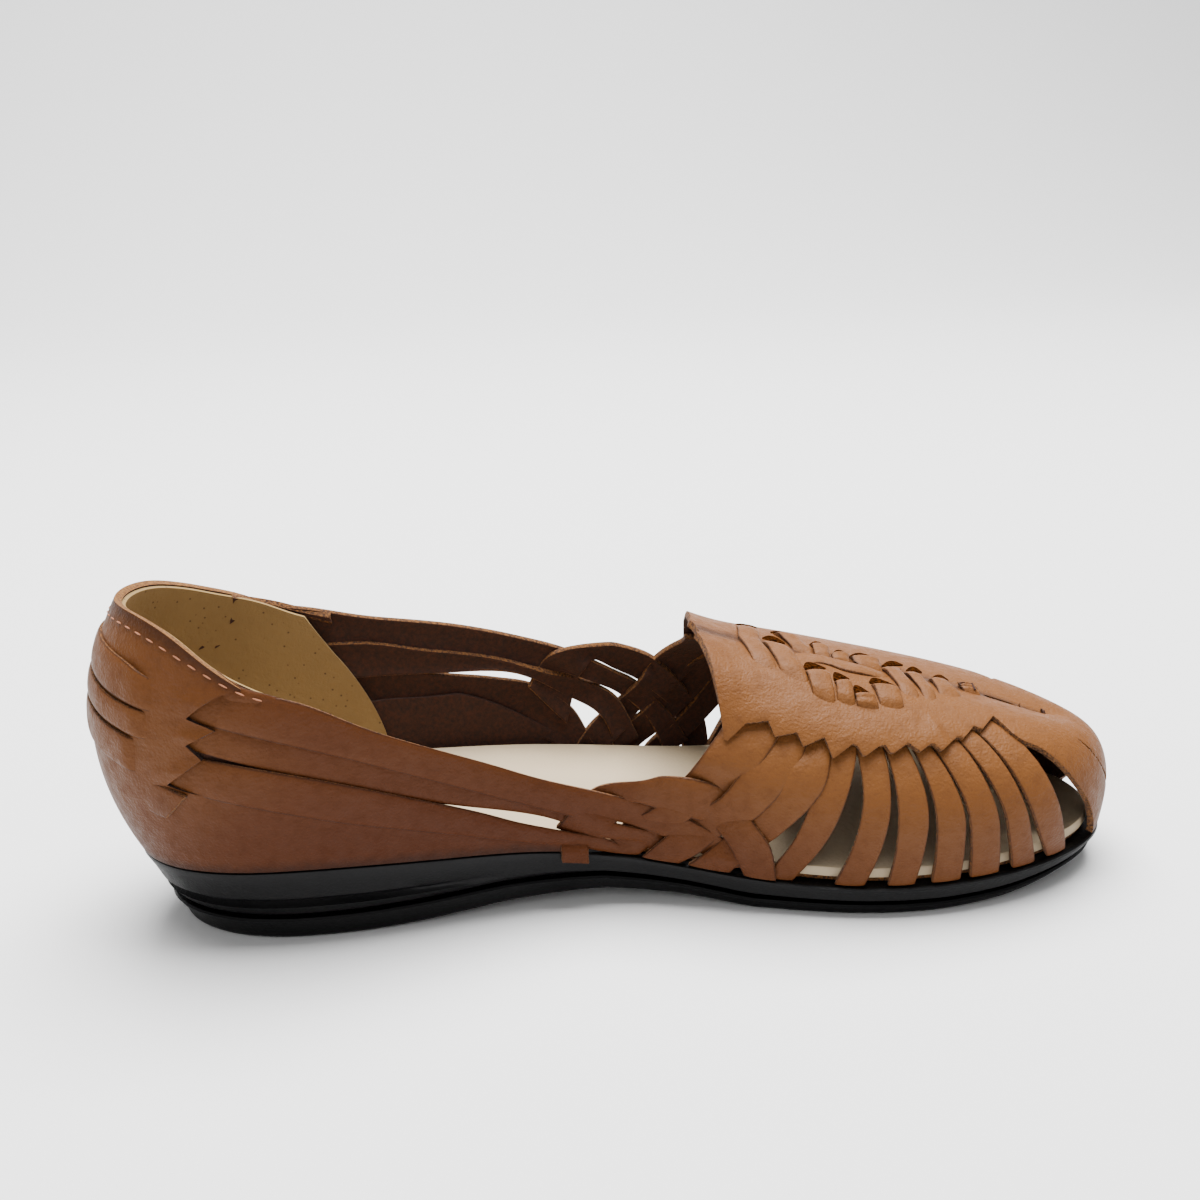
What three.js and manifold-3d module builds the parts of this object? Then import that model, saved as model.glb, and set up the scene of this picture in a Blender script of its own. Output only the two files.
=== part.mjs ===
// A woven leather huarache sandal, left foot, in millimetres.
// Heel towards -X, toe towards +X, inner side towards -Y, floor at z 0, origin under the heel.
import * as THREE from 'three';
import { mergeVertices } from 'three/addons/utils/BufferGeometryUtils.js';
import Module from 'manifold-3d';

const wasm = await Module();
wasm.setup();

// Size of the last
const LENGTH = 250; // feather edge, heel to toe
const BALL = 88; // width of the feather edge at the ball of the foot
const HEEL_SEAT = 21.6; // height of the feather edge under the heel
const INSTEP = 66; // height of the foot at the throat
const BACK_CURVE = 8.6; // how far the back stands out behind the feather edge
const BACK_LEVEL = 32; // height above the feather edge where it stands out most
const HEEL_CENTRE = 0.14; // origin, as a share of the length

// Leather, clearances and raised strips
const WALL = 2.2; // thickness of the upper leather
const RAISE = 1.0; // how far a strip that passes over stands proud of one that passes under
const PLUG_RAISE = 0.6; // how far the plug and the counter stand proud
const RUNG_RAISE = 1.5; // how far the centre weave stands proud
const CLEARANCE = 0.3; // gap between two pieces that touch
const MARGIN = 10; // width of leather turned under the foot
const MARGIN_THICK = 1.2; // thickness of that skived leather
const INSOLE_THICK = 2.6; // thickness of the footbed
const LINING_THICK = 0.9; // thickness of the lining inside the heel

// Sole
const WELT = 0.7; // how far the sole stands out past the feather edge
const EDGE = 0.8; // bevel along the edges of the two sole layers
const TREAD = 6.6; // thickness of the tread layer under the heel
const HEEL_GROOVE = 1.5; // depth of the groove round the heel
const LUG_DEPTH = 1.6; // depth of the tread grooves
const LUG_GROOVE = 2.4; // width of the tread grooves
const LUG_PITCH = 11; // distance between tread grooves

function table(names, rows) {
  const columns = {};
  names.forEach((name, k) => {
    columns[name] = rows.map((row) => row[k]);
  });
  return columns;
}

// The outline of the last: share of the length, middle and half width as shares of the ball width,
// feather height as a share of the heel seat, squareness of the section, belly as a share of the
// ball width, and share of the back curve.
const OUTLINE = table(
  ['share', 'middle', 'half', 'seat', 'square', 'belly', 'back'],
  [
    [0.0, 0.0, 0.0, 0.907, 5.0, 0.0, 1.0],
    [0.03, 0.0, 0.201, 0.944, 5.0, 0.0, 0.8],
    [0.1, 0.0, 0.318, 1.0, 5.0, 0.0, 0.42],
    [0.2, 0.01, 0.35, 1.0, 4.6, 0.0, 0.2],
    [0.3, 0.04, 0.348, 0.926, 3.8, 0.0, 0.06],
    [0.4, 0.082, 0.347, 0.806, 3.0, 0.006, 0.0],
    [0.5, 0.09, 0.374, 0.634, 2.5, 0.011, 0.0],
    [0.6, 0.057, 0.434, 0.472, 2.3, 0.023, 0.0],
    [0.7, 0.018, 0.487, 0.407, 2.3, 0.028, 0.0],
    [0.78, -0.015, 0.48, 0.407, 2.4, 0.028, 0.0],
    [0.86, -0.05, 0.42, 0.426, 2.6, 0.028, 0.0],
    [0.93, -0.08, 0.318, 0.454, 2.9, 0.028, 0.0],
    [0.98, -0.105, 0.18, 0.472, 3.0, 0.028, 0.0],
    [1.0, -0.12, 0.0, 0.481, 3.0, 0.028, 0.0],
  ],
);

// The ridge of the last: share of the length, side as a share of the ball width, height as a share
// of the instep.
const RIDGE = table(
  ['share', 'side', 'height'],
  [
    [0.0, 0.0, 1.788],
    [0.15, 0.0, 1.788],
    [0.3, 0.023, 1.636],
    [0.42, 0.023, 1.364],
    [0.5, 0.006, 1.152],
    [0.57, -0.017, 0.992],
    [0.64, -0.034, 0.909],
    [0.72, -0.057, 0.826],
    [0.8, -0.08, 0.742],
    [0.88, -0.102, 0.644],
    [0.95, -0.114, 0.538],
  ],
);
const RIDGE_START = 0.012; // where the ridge starts and how far it runs, as shares of the length
const RIDGE_RUN = 0.93;

// The underside: share of the length, lift off the floor as a share of the heel seat,
// inset of the tread edge as a share of the ball, thickness of the tread layer as a share of TREAD,
// share of the heel groove's depth.
const UNDERSIDE = table(
  ['share', 'lift', 'inset', 'tread', 'groove'],
  [
    [0.0, 0.0, 0.1, 1.0, 1.0],
    [0.06, 0.0, 0.075, 1.0, 1.0],
    [0.14, 0.0, 0.06, 1.0, 1.0],
    [0.22, 0.0, 0.055, 1.0, 1.0],
    [0.28, 0.03, 0.05, 0.98, 0.6],
    [0.36, 0.11, 0.04, 0.9, 0.0],
    [0.46, 0.16, 0.03, 0.72, 0.0],
    [0.54, 0.09, 0.026, 0.6, 0.0],
    [0.6, 0.0, 0.022, 0.54, 0.0],
    [0.7, 0.0, 0.02, 0.52, 0.0],
    [0.79, 0.0, 0.02, 0.5, 0.0],
    [0.86, 0.04, 0.02, 0.46, 0.0],
    [0.94, 0.14, 0.024, 0.4, 0.0],
    [1.0, 0.24, 0.03, 0.34, 0.0],
  ],
);

function straightLine(xs, ys) {
  return (x) => {
    let k = 1;
    while (k < xs.length - 1 && x > xs[k]) k += 1;
    const part = (x - xs[k - 1]) / (xs[k] - xs[k - 1]);
    return ys[k - 1] + (ys[k] - ys[k - 1]) * THREE.MathUtils.clamp(part, 0, 1);
  };
}

// A natural cubic spline through the points of two columns.
function smoothLine(xs, ys) {
  const last = xs.length - 1;
  const bend = new Array(last + 1).fill(0);
  const carry = new Array(last + 1).fill(0);
  for (let k = 1; k < last; k += 1) {
    const part = (xs[k] - xs[k - 1]) / (xs[k + 1] - xs[k - 1]);
    const weight = part * bend[k - 1] + 2;
    bend[k] = (part - 1) / weight;
    const after = (ys[k + 1] - ys[k]) / (xs[k + 1] - xs[k]);
    const before = (ys[k] - ys[k - 1]) / (xs[k] - xs[k - 1]);
    carry[k] = ((6 * (after - before)) / (xs[k + 1] - xs[k - 1]) - part * carry[k - 1]) / weight;
  }
  bend[last] = 0;
  for (let k = last - 1; k >= 0; k -= 1) {
    bend[k] = bend[k] * bend[k + 1] + carry[k];
  }
  return (x) => {
    let k = 1;
    while (k < last && x > xs[k]) k += 1;
    const step = xs[k] - xs[k - 1];
    const a = (xs[k] - x) / step;
    const b = (x - xs[k - 1]) / step;
    const curve = ((a ** 3 - a) * bend[k - 1] + (b ** 3 - b) * bend[k]) * step * step / 6;
    return a * ys[k - 1] + b * ys[k] + curve;
  };
}

// A place along the outline is an angle: 0 at the heel, PI at the toe, inner side between them,
// outer side beyond PI or below 0. A share past 1 goes on round the toe to the outer side.
function angleOf(share, side = 'inner') {
  if (share > 1) return 2 * Math.PI - angleOf(2 - share);
  const angle = Math.acos(1 - 2 * Math.abs(share)) * Math.sign(share || 1);
  return side === 'inner' ? angle : -angle;
}

function foldAngle(angle) {
  return Math.acos(THREE.MathUtils.clamp(Math.cos(angle), -1, 1));
}

const outlineAngles = OUTLINE.share.map((share) => angleOf(share));
const outline = {};
for (const name of ['middle', 'half', 'seat', 'square', 'belly', 'back']) {
  outline[name] = smoothLine(outlineAngles, OUTLINE[name]);
}
const ridgeSide = smoothLine(RIDGE.share, RIDGE.side);
const ridgeHeight = smoothLine(RIDGE.share, RIDGE.height);

function feather(angle) {
  const fold = foldAngle(angle);
  const side = Math.sin(angle) >= 0 ? -1 : 1;
  return new THREE.Vector3(
    LENGTH * ((1 - Math.cos(fold)) / 2 - HEEL_CENTRE),
    BALL * (outline.middle(fold) + side * Math.max(outline.half(fold), 0)),
    HEEL_SEAT * outline.seat(fold),
  );
}

const STEP = 1e-3; // angle between the two points that give a direction

function outward(angle) {
  const along = feather(angle + STEP).sub(feather(angle - STEP));
  return new THREE.Vector3(along.y, -along.x, 0).normalize();
}

// Height of the seat that the foot stands on, at a place along the length.
function seatAt(x) {
  const share = THREE.MathUtils.clamp(x / LENGTH + HEEL_CENTRE, 0, 1);
  return HEEL_SEAT * outline.seat(angleOf(share));
}

// The feather edge moved out, or in where the distance is negative, along the seat.
function inset(angle, distance) {
  const point = feather(angle).addScaledVector(outward(angle), distance);
  point.z = seatAt(point.x);
  return point;
}

function ridge(angle) {
  const share = RIDGE_START + RIDGE_RUN * (1 - Math.cos(foldAngle(angle))) / 2;
  return new THREE.Vector3(
    LENGTH * (share - HEEL_CENTRE),
    BALL * ridgeSide(share),
    INSTEP * ridgeHeight(share),
  );
}

// A column of the last runs from the feather edge, climb 0, to the ridge, climb 1.
function column(angle, climb) {
  const fold = foldAngle(angle);
  const foot = feather(angle);
  const top = ridge(angle);
  const square = outline.square(fold);
  const turn = (climb * Math.PI) / 2;
  const reach = (Math.cos(turn) ** square + Math.sin(turn) ** square) ** (-1 / square);
  const inward = 1 - reach * Math.cos(turn);
  const height = (top.z - foot.z) * reach * Math.sin(turn);
  const back = 1 - ((height - BACK_LEVEL) / BACK_LEVEL) ** 2;
  const bulge = BALL * outline.belly(fold) * Math.sin(Math.PI * climb)
    + BACK_CURVE * Math.max(outline.back(fold), 0) * back;
  const point = foot.clone().lerp(top, inward).addScaledVector(outward(angle), bulge);
  point.z = foot.z + height;
  return point;
}

// A point on the skin of the last, lifted along its normal, and never lower than the feather edge.
// A climb past 1 goes over the ridge.
function skin(angle, climb, lift) {
  const place = climb > 1 ? -angle : angle;
  const rise = Math.max(climb > 1 ? 2 - climb : climb, 0);
  const low = Math.max(rise - STEP, 0);
  const high = Math.min(rise + STEP, 1);
  const along = column(place + STEP, rise).sub(column(place - STEP, rise));
  const up = column(place, high).sub(column(place, low));
  const point = column(place, rise).addScaledVector(along.cross(up).normalize(), lift);
  point.z = Math.max(point.z, feather(place).z);
  return point;
}

// Closed solids from points and triangles
const WELD = 1e-3; // corners nearer than this are one corner

function volumeOf(geometry, corners) {
  const at = (k) => new THREE.Vector3().fromBufferAttribute(geometry.attributes.position, corners[k]);
  let volume = 0;
  for (let k = 0; k < corners.length; k += 3) volume += at(k).dot(at(k + 1).cross(at(k + 2))) / 6;
  return volume;
}

// Whichever way a piece was laid out, its faces are turned outwards.
function solid(points, faces) {
  const raw = new THREE.BufferGeometry();
  raw.setAttribute('position', new THREE.Float32BufferAttribute(points.flatMap((p) => p.toArray()), 3));
  raw.setIndex(faces.flat());
  const merged = mergeVertices(raw, WELD);
  const index = merged.index.array;
  const kept = [];
  for (let k = 0; k < index.length; k += 3) {
    const [a, b, c] = [index[k], index[k + 1], index[k + 2]];
    if (a !== b && b !== c && c !== a) kept.push(a, b, c);
  }
  merged.setIndex(volumeOf(merged, kept) < 0 ? kept.reverse() : kept);
  return merged;
}

// A plate of leather: rows of points on its face and on its back, joined round the edge.
function plate(rows, columns, face, back) {
  const points = [];
  const faces = [];
  const wide = columns + 1;
  for (const layer of [face, back]) {
    for (let r = 0; r <= rows; r += 1) {
      for (let c = 0; c <= columns; c += 1) points.push(layer(r / rows, c / columns));
    }
  }
  const under = (rows + 1) * wide;
  const quad = (a, b, c, d) => faces.push([a, b, c], [a, c, d]);
  for (let r = 0; r < rows; r += 1) {
    for (let c = 0; c < columns; c += 1) {
      const a = r * wide + c;
      quad(a, a + wide, a + wide + 1, a + 1);
      quad(under + a, under + a + 1, under + a + wide + 1, under + a + wide);
    }
    const left = r * wide;
    const right = left + columns;
    quad(left, under + left, under + left + wide, left + wide);
    quad(right, right + wide, under + right + wide, under + right);
  }
  for (let c = 0; c < columns; c += 1) {
    const end = rows * wide + c;
    quad(c, c + 1, under + c + 1, under + c);
    quad(end, under + end, under + end + 1, end + 1);
  }
  return solid(points, faces);
}

// A ring with a closed section, swept round the whole outline.
function hoop(steps, section) {
  const points = [];
  const faces = [];
  const count = section(0).length;
  for (let k = 0; k < steps; k += 1) points.push(...section((2 * Math.PI * k) / steps));
  for (let k = 0; k < steps; k += 1) {
    const next = ((k + 1) % steps) * count;
    for (let c = 0; c < count; c += 1) {
      const a = k * count + c;
      const b = k * count + ((c + 1) % count);
      faces.push([a, next + c, next + ((c + 1) % count)], [a, next + ((c + 1) % count), b]);
    }
  }
  return solid(points, faces);
}

// A slab bounded by rings from its top edge to its bottom edge, straight across on both faces.
function slab(steps, rings) {
  const points = [];
  const faces = [];
  const half = steps / 2;
  for (const ring of rings) {
    for (let k = 0; k < steps; k += 1) points.push(ring((2 * Math.PI * k) / steps));
  }
  for (let r = 0; r < rings.length - 1; r += 1) {
    for (let k = 0; k < steps; k += 1) {
      const a = r * steps + k;
      const b = r * steps + ((k + 1) % steps);
      faces.push([a, a + steps, b + steps], [a, b + steps, b]);
    }
  }
  const base = (rings.length - 1) * steps;
  for (let k = 0; k < half; k += 1) {
    const far = (steps - k) % steps;
    const farther = steps - k - 1;
    faces.push([k, k + 1, farther], [k, farther, far]);
    faces.push([base + k, base + farther, base + k + 1], [base + k, base + far, base + farther]);
  }
  return solid(points, faces);
}

function toManifold(geometry) {
  const bare = geometry.clone();
  bare.deleteAttribute('normal');
  bare.deleteAttribute('uv');
  const merged = mergeVertices(bare, WELD);
  return new wasm.Manifold(
    new wasm.Mesh({
      numProp: 3,
      vertProperties: new Float32Array(merged.attributes.position.array),
      triVerts: new Uint32Array(merged.index.array),
    }),
  );
}

function toGeometry(manifold) {
  const mesh = manifold.getMesh();
  const geometry = new THREE.BufferGeometry();
  geometry.setAttribute('position', new THREE.BufferAttribute(mesh.vertProperties, 3));
  geometry.setIndex(new THREE.BufferAttribute(mesh.triVerts, 1));
  return geometry;
}

function join(geometries) {
  return geometries.map(toManifold).reduce((sum, piece) => sum.add(piece));
}

// Small pockets trapped where strips cross are filled, and crumbs are dropped. Triangles belong to
// one shell when they share an edge; where more than two meet there, neighbours across the open
// side belong together.
const CRUMB = 1; // volume below which a loose piece is a crumb

function fillPockets(manifold) {
  const geometry = toGeometry(toManifold(toGeometry(manifold)));
  const index = geometry.index.array;
  const corner = (k) => new THREE.Vector3().fromBufferAttribute(geometry.attributes.position, index[k]);
  const shell = Array.from({ length: index.length / 3 }, (_, k) => k);
  const find = (triangle) => {
    let root = triangle;
    while (shell[root] !== root) root = shell[root];
    shell[triangle] = root;
    return root;
  };
  const edges = new Map();
  for (let k = 0; k < index.length; k += 1) {
    const next = k % 3 === 2 ? k - 2 : k + 1;
    const forward = index[k] < index[next];
    const [low, high] = forward ? [k, next] : [next, k];
    const key = `${index[low]} ${index[high]}`;
    const apex = k % 3 === 0 ? k + 2 : k - 1;
    if (!edges.has(key)) edges.set(key, []);
    edges.get(key).push({ triangle: Math.floor(k / 3), low, high, apex, forward });
  }
  for (const fan of edges.values()) {
    const axis = corner(fan[0].high).sub(corner(fan[0].low)).normalize();
    const start = corner(fan[0].apex).sub(corner(fan[0].low)).projectOnPlane(axis).normalize();
    const side = axis.clone().cross(start);
    for (const leaf of fan) {
      const arm = corner(leaf.apex).sub(corner(leaf.low));
      leaf.turn = (Math.atan2(arm.dot(side), arm.dot(start)) + 2 * Math.PI) % (2 * Math.PI);
    }
    fan.sort((one, other) => one.turn - other.turn);
    fan.forEach((leaf, k) => {
      if (leaf.forward) shell[find(leaf.triangle)] = find(fan[(k + 1) % fan.length].triangle);
    });
  }
  const volumes = new Map();
  for (let k = 0; k < index.length; k += 3) {
    const volume = corner(k).dot(corner(k + 1).cross(corner(k + 2))) / 6;
    const root = find(k / 3);
    volumes.set(root, (volumes.get(root) || 0) + volume);
  }
  const kept = Array.from(index).filter((_, k) => volumes.get(find(Math.floor(k / 3))) > CRUMB);
  geometry.setIndex(kept);
  return geometry;
}

// The weave, charted as share of the length and climb.
// On the outer side the quarter stands higher and the vamp strips reach further round the toe.
const OUTER_RISE = straightLine(
  [0.0, 0.03, 0.075, 0.1, 0.13, 0.17, 0.21, 0.26, 0.3, 0.35, 0.4, 0.51, 0.57, 0.62, 0.66],
  [0.0, -0.014, -0.014, -0.002, 0.006, 0.007, 0.022, 0.05, 0.068, 0.098, 0.12, 0.115, 0.07, 0.02, 0.0],
);
const OUTER_REACH = straightLine(
  [0.6, 0.7, 0.8, 0.887, 0.911, 0.935, 0.95, 0.985],
  [0.0, 0.006, 0.022, 0.046, 0.053, 0.05, 0.03, 0.0],
);

function charted(point, side, quarter) {
  let [share, climb] = point;
  if (side === 'outer') {
    if (quarter) climb += OUTER_RISE(share) * Math.min(climb / 0.05, 1);
    share += OUTER_REACH(share);
  }
  return new THREE.Vector2(angleOf(share, side), climb);
}

// A strip of leather between two charted edges, with its lift at each point of the edges.
function strip(first, second, lifts, { side = 'inner', steps = 4, spans = 1, quarter = false } = {}) {
  const edges = [first, second].map(
    (edge) => new THREE.SplineCurve(edge.map((point) => charted(point, side, quarter))),
  );
  const lift = straightLine(lifts.map((_, k) => k / (lifts.length - 1)), lifts);
  const at = (drop) => (along, across) => {
    const [a, b] = edges.map((edge) => edge.getPoint(along));
    const spot = a.lerp(b, across);
    return skin(spot.x, Math.max(spot.y, 0), lift(along) - drop);
  };
  return plate(steps, spans, at(0), at(WALL));
}

// Vamp strips: share and climb of both top corners at the plug, then the shares of both edges
// at the waist of the strip and at its foot on the sole.
const VAMP = table(
  ['left', 'leftTop', 'right', 'rightTop', 'leftWaist', 'rightWaist', 'leftFoot', 'rightFoot'],
  [
    [0.685, 0.43, 0.717, 0.5, 0.664, 0.695, 0.614, 0.641],
    [0.717, 0.45, 0.743, 0.51, 0.71, 0.737, 0.68, 0.71],
    [0.747, 0.47, 0.768, 0.52, 0.743, 0.773, 0.732, 0.76],
    [0.777, 0.49, 0.793, 0.53, 0.779, 0.808, 0.777, 0.808],
    [0.8, 0.5, 0.825, 0.57, 0.811, 0.842, 0.818, 0.851],
    [0.83, 0.56, 0.85, 0.625, 0.848, 0.873, 0.866, 0.894],
    [0.857, 0.61, 0.884, 0.7, 0.877, 0.911, 0.909, 0.935],
  ],
);
const VAMP_WAIST = 0.3; // climb of the waist
const TUCK = 0.1; // how much climb of a strip is hidden under the plug

function vampStrips(side) {
  return VAMP.left.map((left, k) => {
    const edge = (top, climb, waist, foot) => [
      [top + (top - waist) * 0.2, climb + TUCK],
      [top, climb],
      [waist, VAMP_WAIST],
      [(waist + foot) / 2 + (waist - foot) * 0.08, VAMP_WAIST / 2],
      [foot, 0],
    ];
    return strip(
      edge(left, VAMP.leftTop[k], VAMP.leftWaist[k], VAMP.leftFoot[k]),
      edge(VAMP.right[k], VAMP.rightTop[k], VAMP.rightWaist[k], VAMP.rightFoot[k]),
      [-0.6, 0, RAISE * 0.6, RAISE * 0.6, 0],
      { side },
    );
  });
}

// Braided strips: both edges as share and climb, and at each point whether the strip passes over.
const BRAID = [
  { // first strip under the throat
    edges: [
      [
        [0.62, 0.58], [0.612, 0.487], [0.568, 0.325], [0.545, 0.246], [0.512, 0.142], [0.485, 0.083],
        [0.46, 0],
      ],
      [
        [0.655, 0.63], [0.645, 0.542], [0.607, 0.346], [0.58, 0.246], [0.542, 0.142], [0.518, 0.071],
        [0.49, 0],
      ],
    ],
    over: [-0.5, 0, 1, 0, 1, 0, 0],
  },
  { // second strip under the throat
    edges: [
      [
        [0.642, 0.56], [0.637, 0.467], [0.607, 0.338], [0.578, 0.225], [0.55, 0.15], [0.523, 0.07],
        [0.5, 0],
      ],
      [
        [0.675, 0.59], [0.663, 0.496], [0.64, 0.342], [0.607, 0.205], [0.575, 0.12], [0.55, 0.05],
        [0.53, 0],
      ],
    ],
    over: [-0.5, 0, 1, 1, 0, 1, 0.5],
  },
  { // third strip, down to the sole
    edges: [
      [
        [0.668, 0.54], [0.66, 0.45], [0.645, 0.354], [0.608, 0.188], [0.582, 0.11], [0.56, 0.046],
        [0.545, 0],
      ],
      [
        [0.7, 0.59], [0.69, 0.496], [0.672, 0.33], [0.628, 0.16], [0.605, 0.09], [0.588, 0.04],
        [0.578, 0],
      ],
    ],
    over: [-0.5, 0, 1, 0.6, 0, 1, 0.5],
  },
  { // strip that loops back along the foot of the quarter
    quarter: true,
    edges: [
      [
        [0.415, 0.045], [0.433, 0.1], [0.455, 0.15], [0.497, 0.2], [0.522, 0.229], [0.557, 0.25],
        [0.583, 0.235], [0.604, 0.175], [0.619, 0.1], [0.623, 0],
      ],
      [
        [0.45, 0.025], [0.465, 0.065], [0.475, 0.115], [0.49, 0.15], [0.515, 0.153], [0.545, 0.155],
        [0.565, 0.142], [0.582, 0.11], [0.592, 0.054], [0.598, 0],
      ],
    ],
    over: [0, 1, 0, 1, 1, 1, 0, 1, 1, 0.6],
  },
  { // upper side strip, from the topline
    quarter: true,
    edges: [
      [
        [0.09, 0.295], [0.115, 0.292], [0.172, 0.275], [0.243, 0.229], [0.34, 0.183], [0.4, 0.158],
        [0.46, 0.15], [0.512, 0.146], [0.543, 0.138], [0.577, 0.096], [0.6, 0.03],
      ],
      [
        [0.065, 0.256], [0.085, 0.25], [0.14, 0.226], [0.21, 0.192], [0.297, 0.146], [0.37, 0.108],
        [0.43, 0.085], [0.48, 0.083], [0.52, 0.072], [0.552, 0.042], [0.572, 0],
      ],
    ],
    over: [0, 0.9, 1, 1, 1, 1, 1, 0.4, 0.8, 0, 0],
  },
  { // second side strip
    quarter: true,
    edges: [
      [
        [0.08, 0.254], [0.1, 0.247], [0.168, 0.218], [0.242, 0.186], [0.297, 0.155], [0.37, 0.115],
        [0.43, 0.09], [0.473, 0.082], [0.515, 0.066], [0.54, 0.02],
      ],
      [
        [0.06, 0.212], [0.076, 0.215], [0.132, 0.184], [0.208, 0.145], [0.258, 0.119], [0.32, 0.098],
        [0.4, 0.072], [0.455, 0.043], [0.495, 0.033], [0.512, 0],
      ],
    ],
    over: [0, 0.7, 0.5, 0.5, 0.5, 0.4, 0, 0.8, 0, 0],
  },
  { // third side strip
    quarter: true,
    edges: [
      [
        [0.07, 0.2], [0.088, 0.196], [0.132, 0.178], [0.19, 0.153], [0.258, 0.121], [0.327, 0.088],
        [0.375, 0.063], [0.422, 0.048], [0.462, 0.035], [0.485, 0.01],
      ],
      [
        [0.044, 0.158], [0.058, 0.153], [0.1, 0.133], [0.15, 0.108], [0.21, 0.081], [0.28, 0.056],
        [0.33, 0.038], [0.385, 0.02], [0.43, 0.01], [0.455, 0],
      ],
    ],
    over: [0, 0.8, 1, 1, 1, 0.9, 0.9, 0.9, 0.4, 0],
  },
  { // lowest side strip, down to the sole
    quarter: true,
    edges: [
      [
        [0.06, 0.148], [0.078, 0.14], [0.115, 0.132], [0.165, 0.108], [0.23, 0.082], [0.3, 0.06],
        [0.38, 0.035], [0.44, 0.016],
      ],
      [
        [0.05, 0], [0.06, 0], [0.1, 0], [0.15, 0], [0.22, 0], [0.3, 0],
        [0.38, 0], [0.44, 0],
      ],
    ],
    over: [0, 0.3, 0.4, 0.4, 0.4, 0.4, 0.4, 0.4],
  },
];

function braidStrips(side) {
  return BRAID.map(({ edges, over, quarter }) => strip(
    edges[0],
    edges[1],
    over.map((share) => share * RAISE),
    { side, quarter, steps: edges[0].length - 1 },
  ));
}

// The plug: its edge runs in a saw of teeth between the slots that the vamp strips leave by.
const PLUG = table(
  ['share', 'climb'],
  [
    [0.588, 0.4],
    [0.611, 0.49],
    [0.634, 0.52],
    [0.637, 0.47],
    [0.66, 0.5],
    [0.663, 0.455],
    [0.686, 0.5],
    [0.689, 0.43],
    [0.715, 0.5],
    [0.719, 0.45],
    [0.743, 0.51],
    [0.747, 0.47],
    [0.768, 0.52],
    [0.777, 0.49],
    [0.793, 0.53],
    [0.8, 0.5],
    [0.825, 0.57],
    [0.83, 0.56],
    [0.85, 0.625],
    [0.857, 0.61],
    [0.884, 0.7],
    [0.897, 0.6],
    [0.95, 0.7],
    [0.985, 0.8],
  ],
);
const PLUG_ACROSS = 6;

function plug() {
  const rows = PLUG.share.length - 1;
  const at = (drop) => (along, across) => {
    const row = Math.round(along * rows);
    const side = across > 0.5 ? 'outer' : 'inner';
    const spot = charted([PLUG.share[row], PLUG.climb[row]], side, false);
    const part = Math.abs(across - 0.5) * 2;
    return skin(spot.x, 1 - (1 - spot.y) * part, PLUG_RAISE - drop);
  };
  return plate(rows, PLUG_ACROSS, at(0), at(WALL));
}

// The front of the plug runs round the toe, above the two toe openings, as share and climb.
const TOE_CAP = [
  [0.878, 0.72], [0.893, 0.59], [0.93, 0.56], [0.962, 0.588], [0.985, 0.56], [1.0, 0.54], [1.015, 0.54],
  [1.035, 0.55], [1.06, 0.56], [1.085, 0.7],
];
const TOE_TOP = 0.985; // climb where the cap meets the end of the ridge
const TOE_DROP = 0.15; // each piece of the toe lies this much below the one before it

function chartCurve(points) {
  return new THREE.SplineCurve(points.map(([share, climb]) => new THREE.Vector2(angleOf(share), climb)));
}

function toeCap() {
  const edge = chartCurve(TOE_CAP);
  const at = (drop) => (along, across) => {
    const spot = edge.getPoint(along);
    const climb = THREE.MathUtils.lerp(TOE_TOP, spot.y, across);
    return skin(spot.x, climb, PLUG_RAISE - TOE_DROP - drop);
  };
  return plate(12, 2, at(0), at(WALL));
}

// The band down the front of the toe between the two openings, and the strip beyond the outer one.
const TOE_BAND = [
  [[0.887, 0.66], [0.906, 0.53], [0.931, 0.405], [0.955, 0.229], [0.97, 0.067], [0.973, 0]],
  [[0.958, 0.68], [0.968, 0.517], [0.979, 0.39], [0.992, 0.22], [1.0, 0.06], [1.001, 0]],
];
const TOE_STRIP = [
  [[0.966, 0.66], [0.972, 0.53], [0.982, 0.4], [1.0, 0.22], [1.018, 0.06], [1.022, 0]],
  [[1.08, 0.68], [1.064, 0.53], [1.06, 0.4], [1.065, 0.22], [1.07, 0.06], [1.071, 0]],
];

function toeStrip([first, second], drop) {
  const lift = PLUG_RAISE - drop;
  const edges = [chartCurve(first), chartCurve(second)];
  const at = (depth) => (along, across) => {
    const [a, b] = edges.map((edge) => edge.getPoint(along));
    const spot = a.lerp(b, across);
    return skin(spot.x, Math.max(spot.y, 0), lift * Math.min(spot.y / TUCK, 1) - depth);
  };
  return plate(7, 3, at(0), at(WALL));
}

// A small disc of leather closes the point where the cap and the plug meet.
const POINT_RADIUS = 5;
const POINT_PLACE = 0.99; // share of the length, round the outline, whose ridge it sits on

function toePoint() {
  const point = ridge(angleOf(POINT_PLACE));
  const disc = new THREE.SphereGeometry(POINT_RADIUS, 12, 6);
  disc.scale(1, 1, WALL / POINT_RADIUS / 2);
  disc.translate(point.x, point.y, point.z + PLUG_RAISE - WALL / 2 - TOE_DROP);
  return disc;
}

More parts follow.
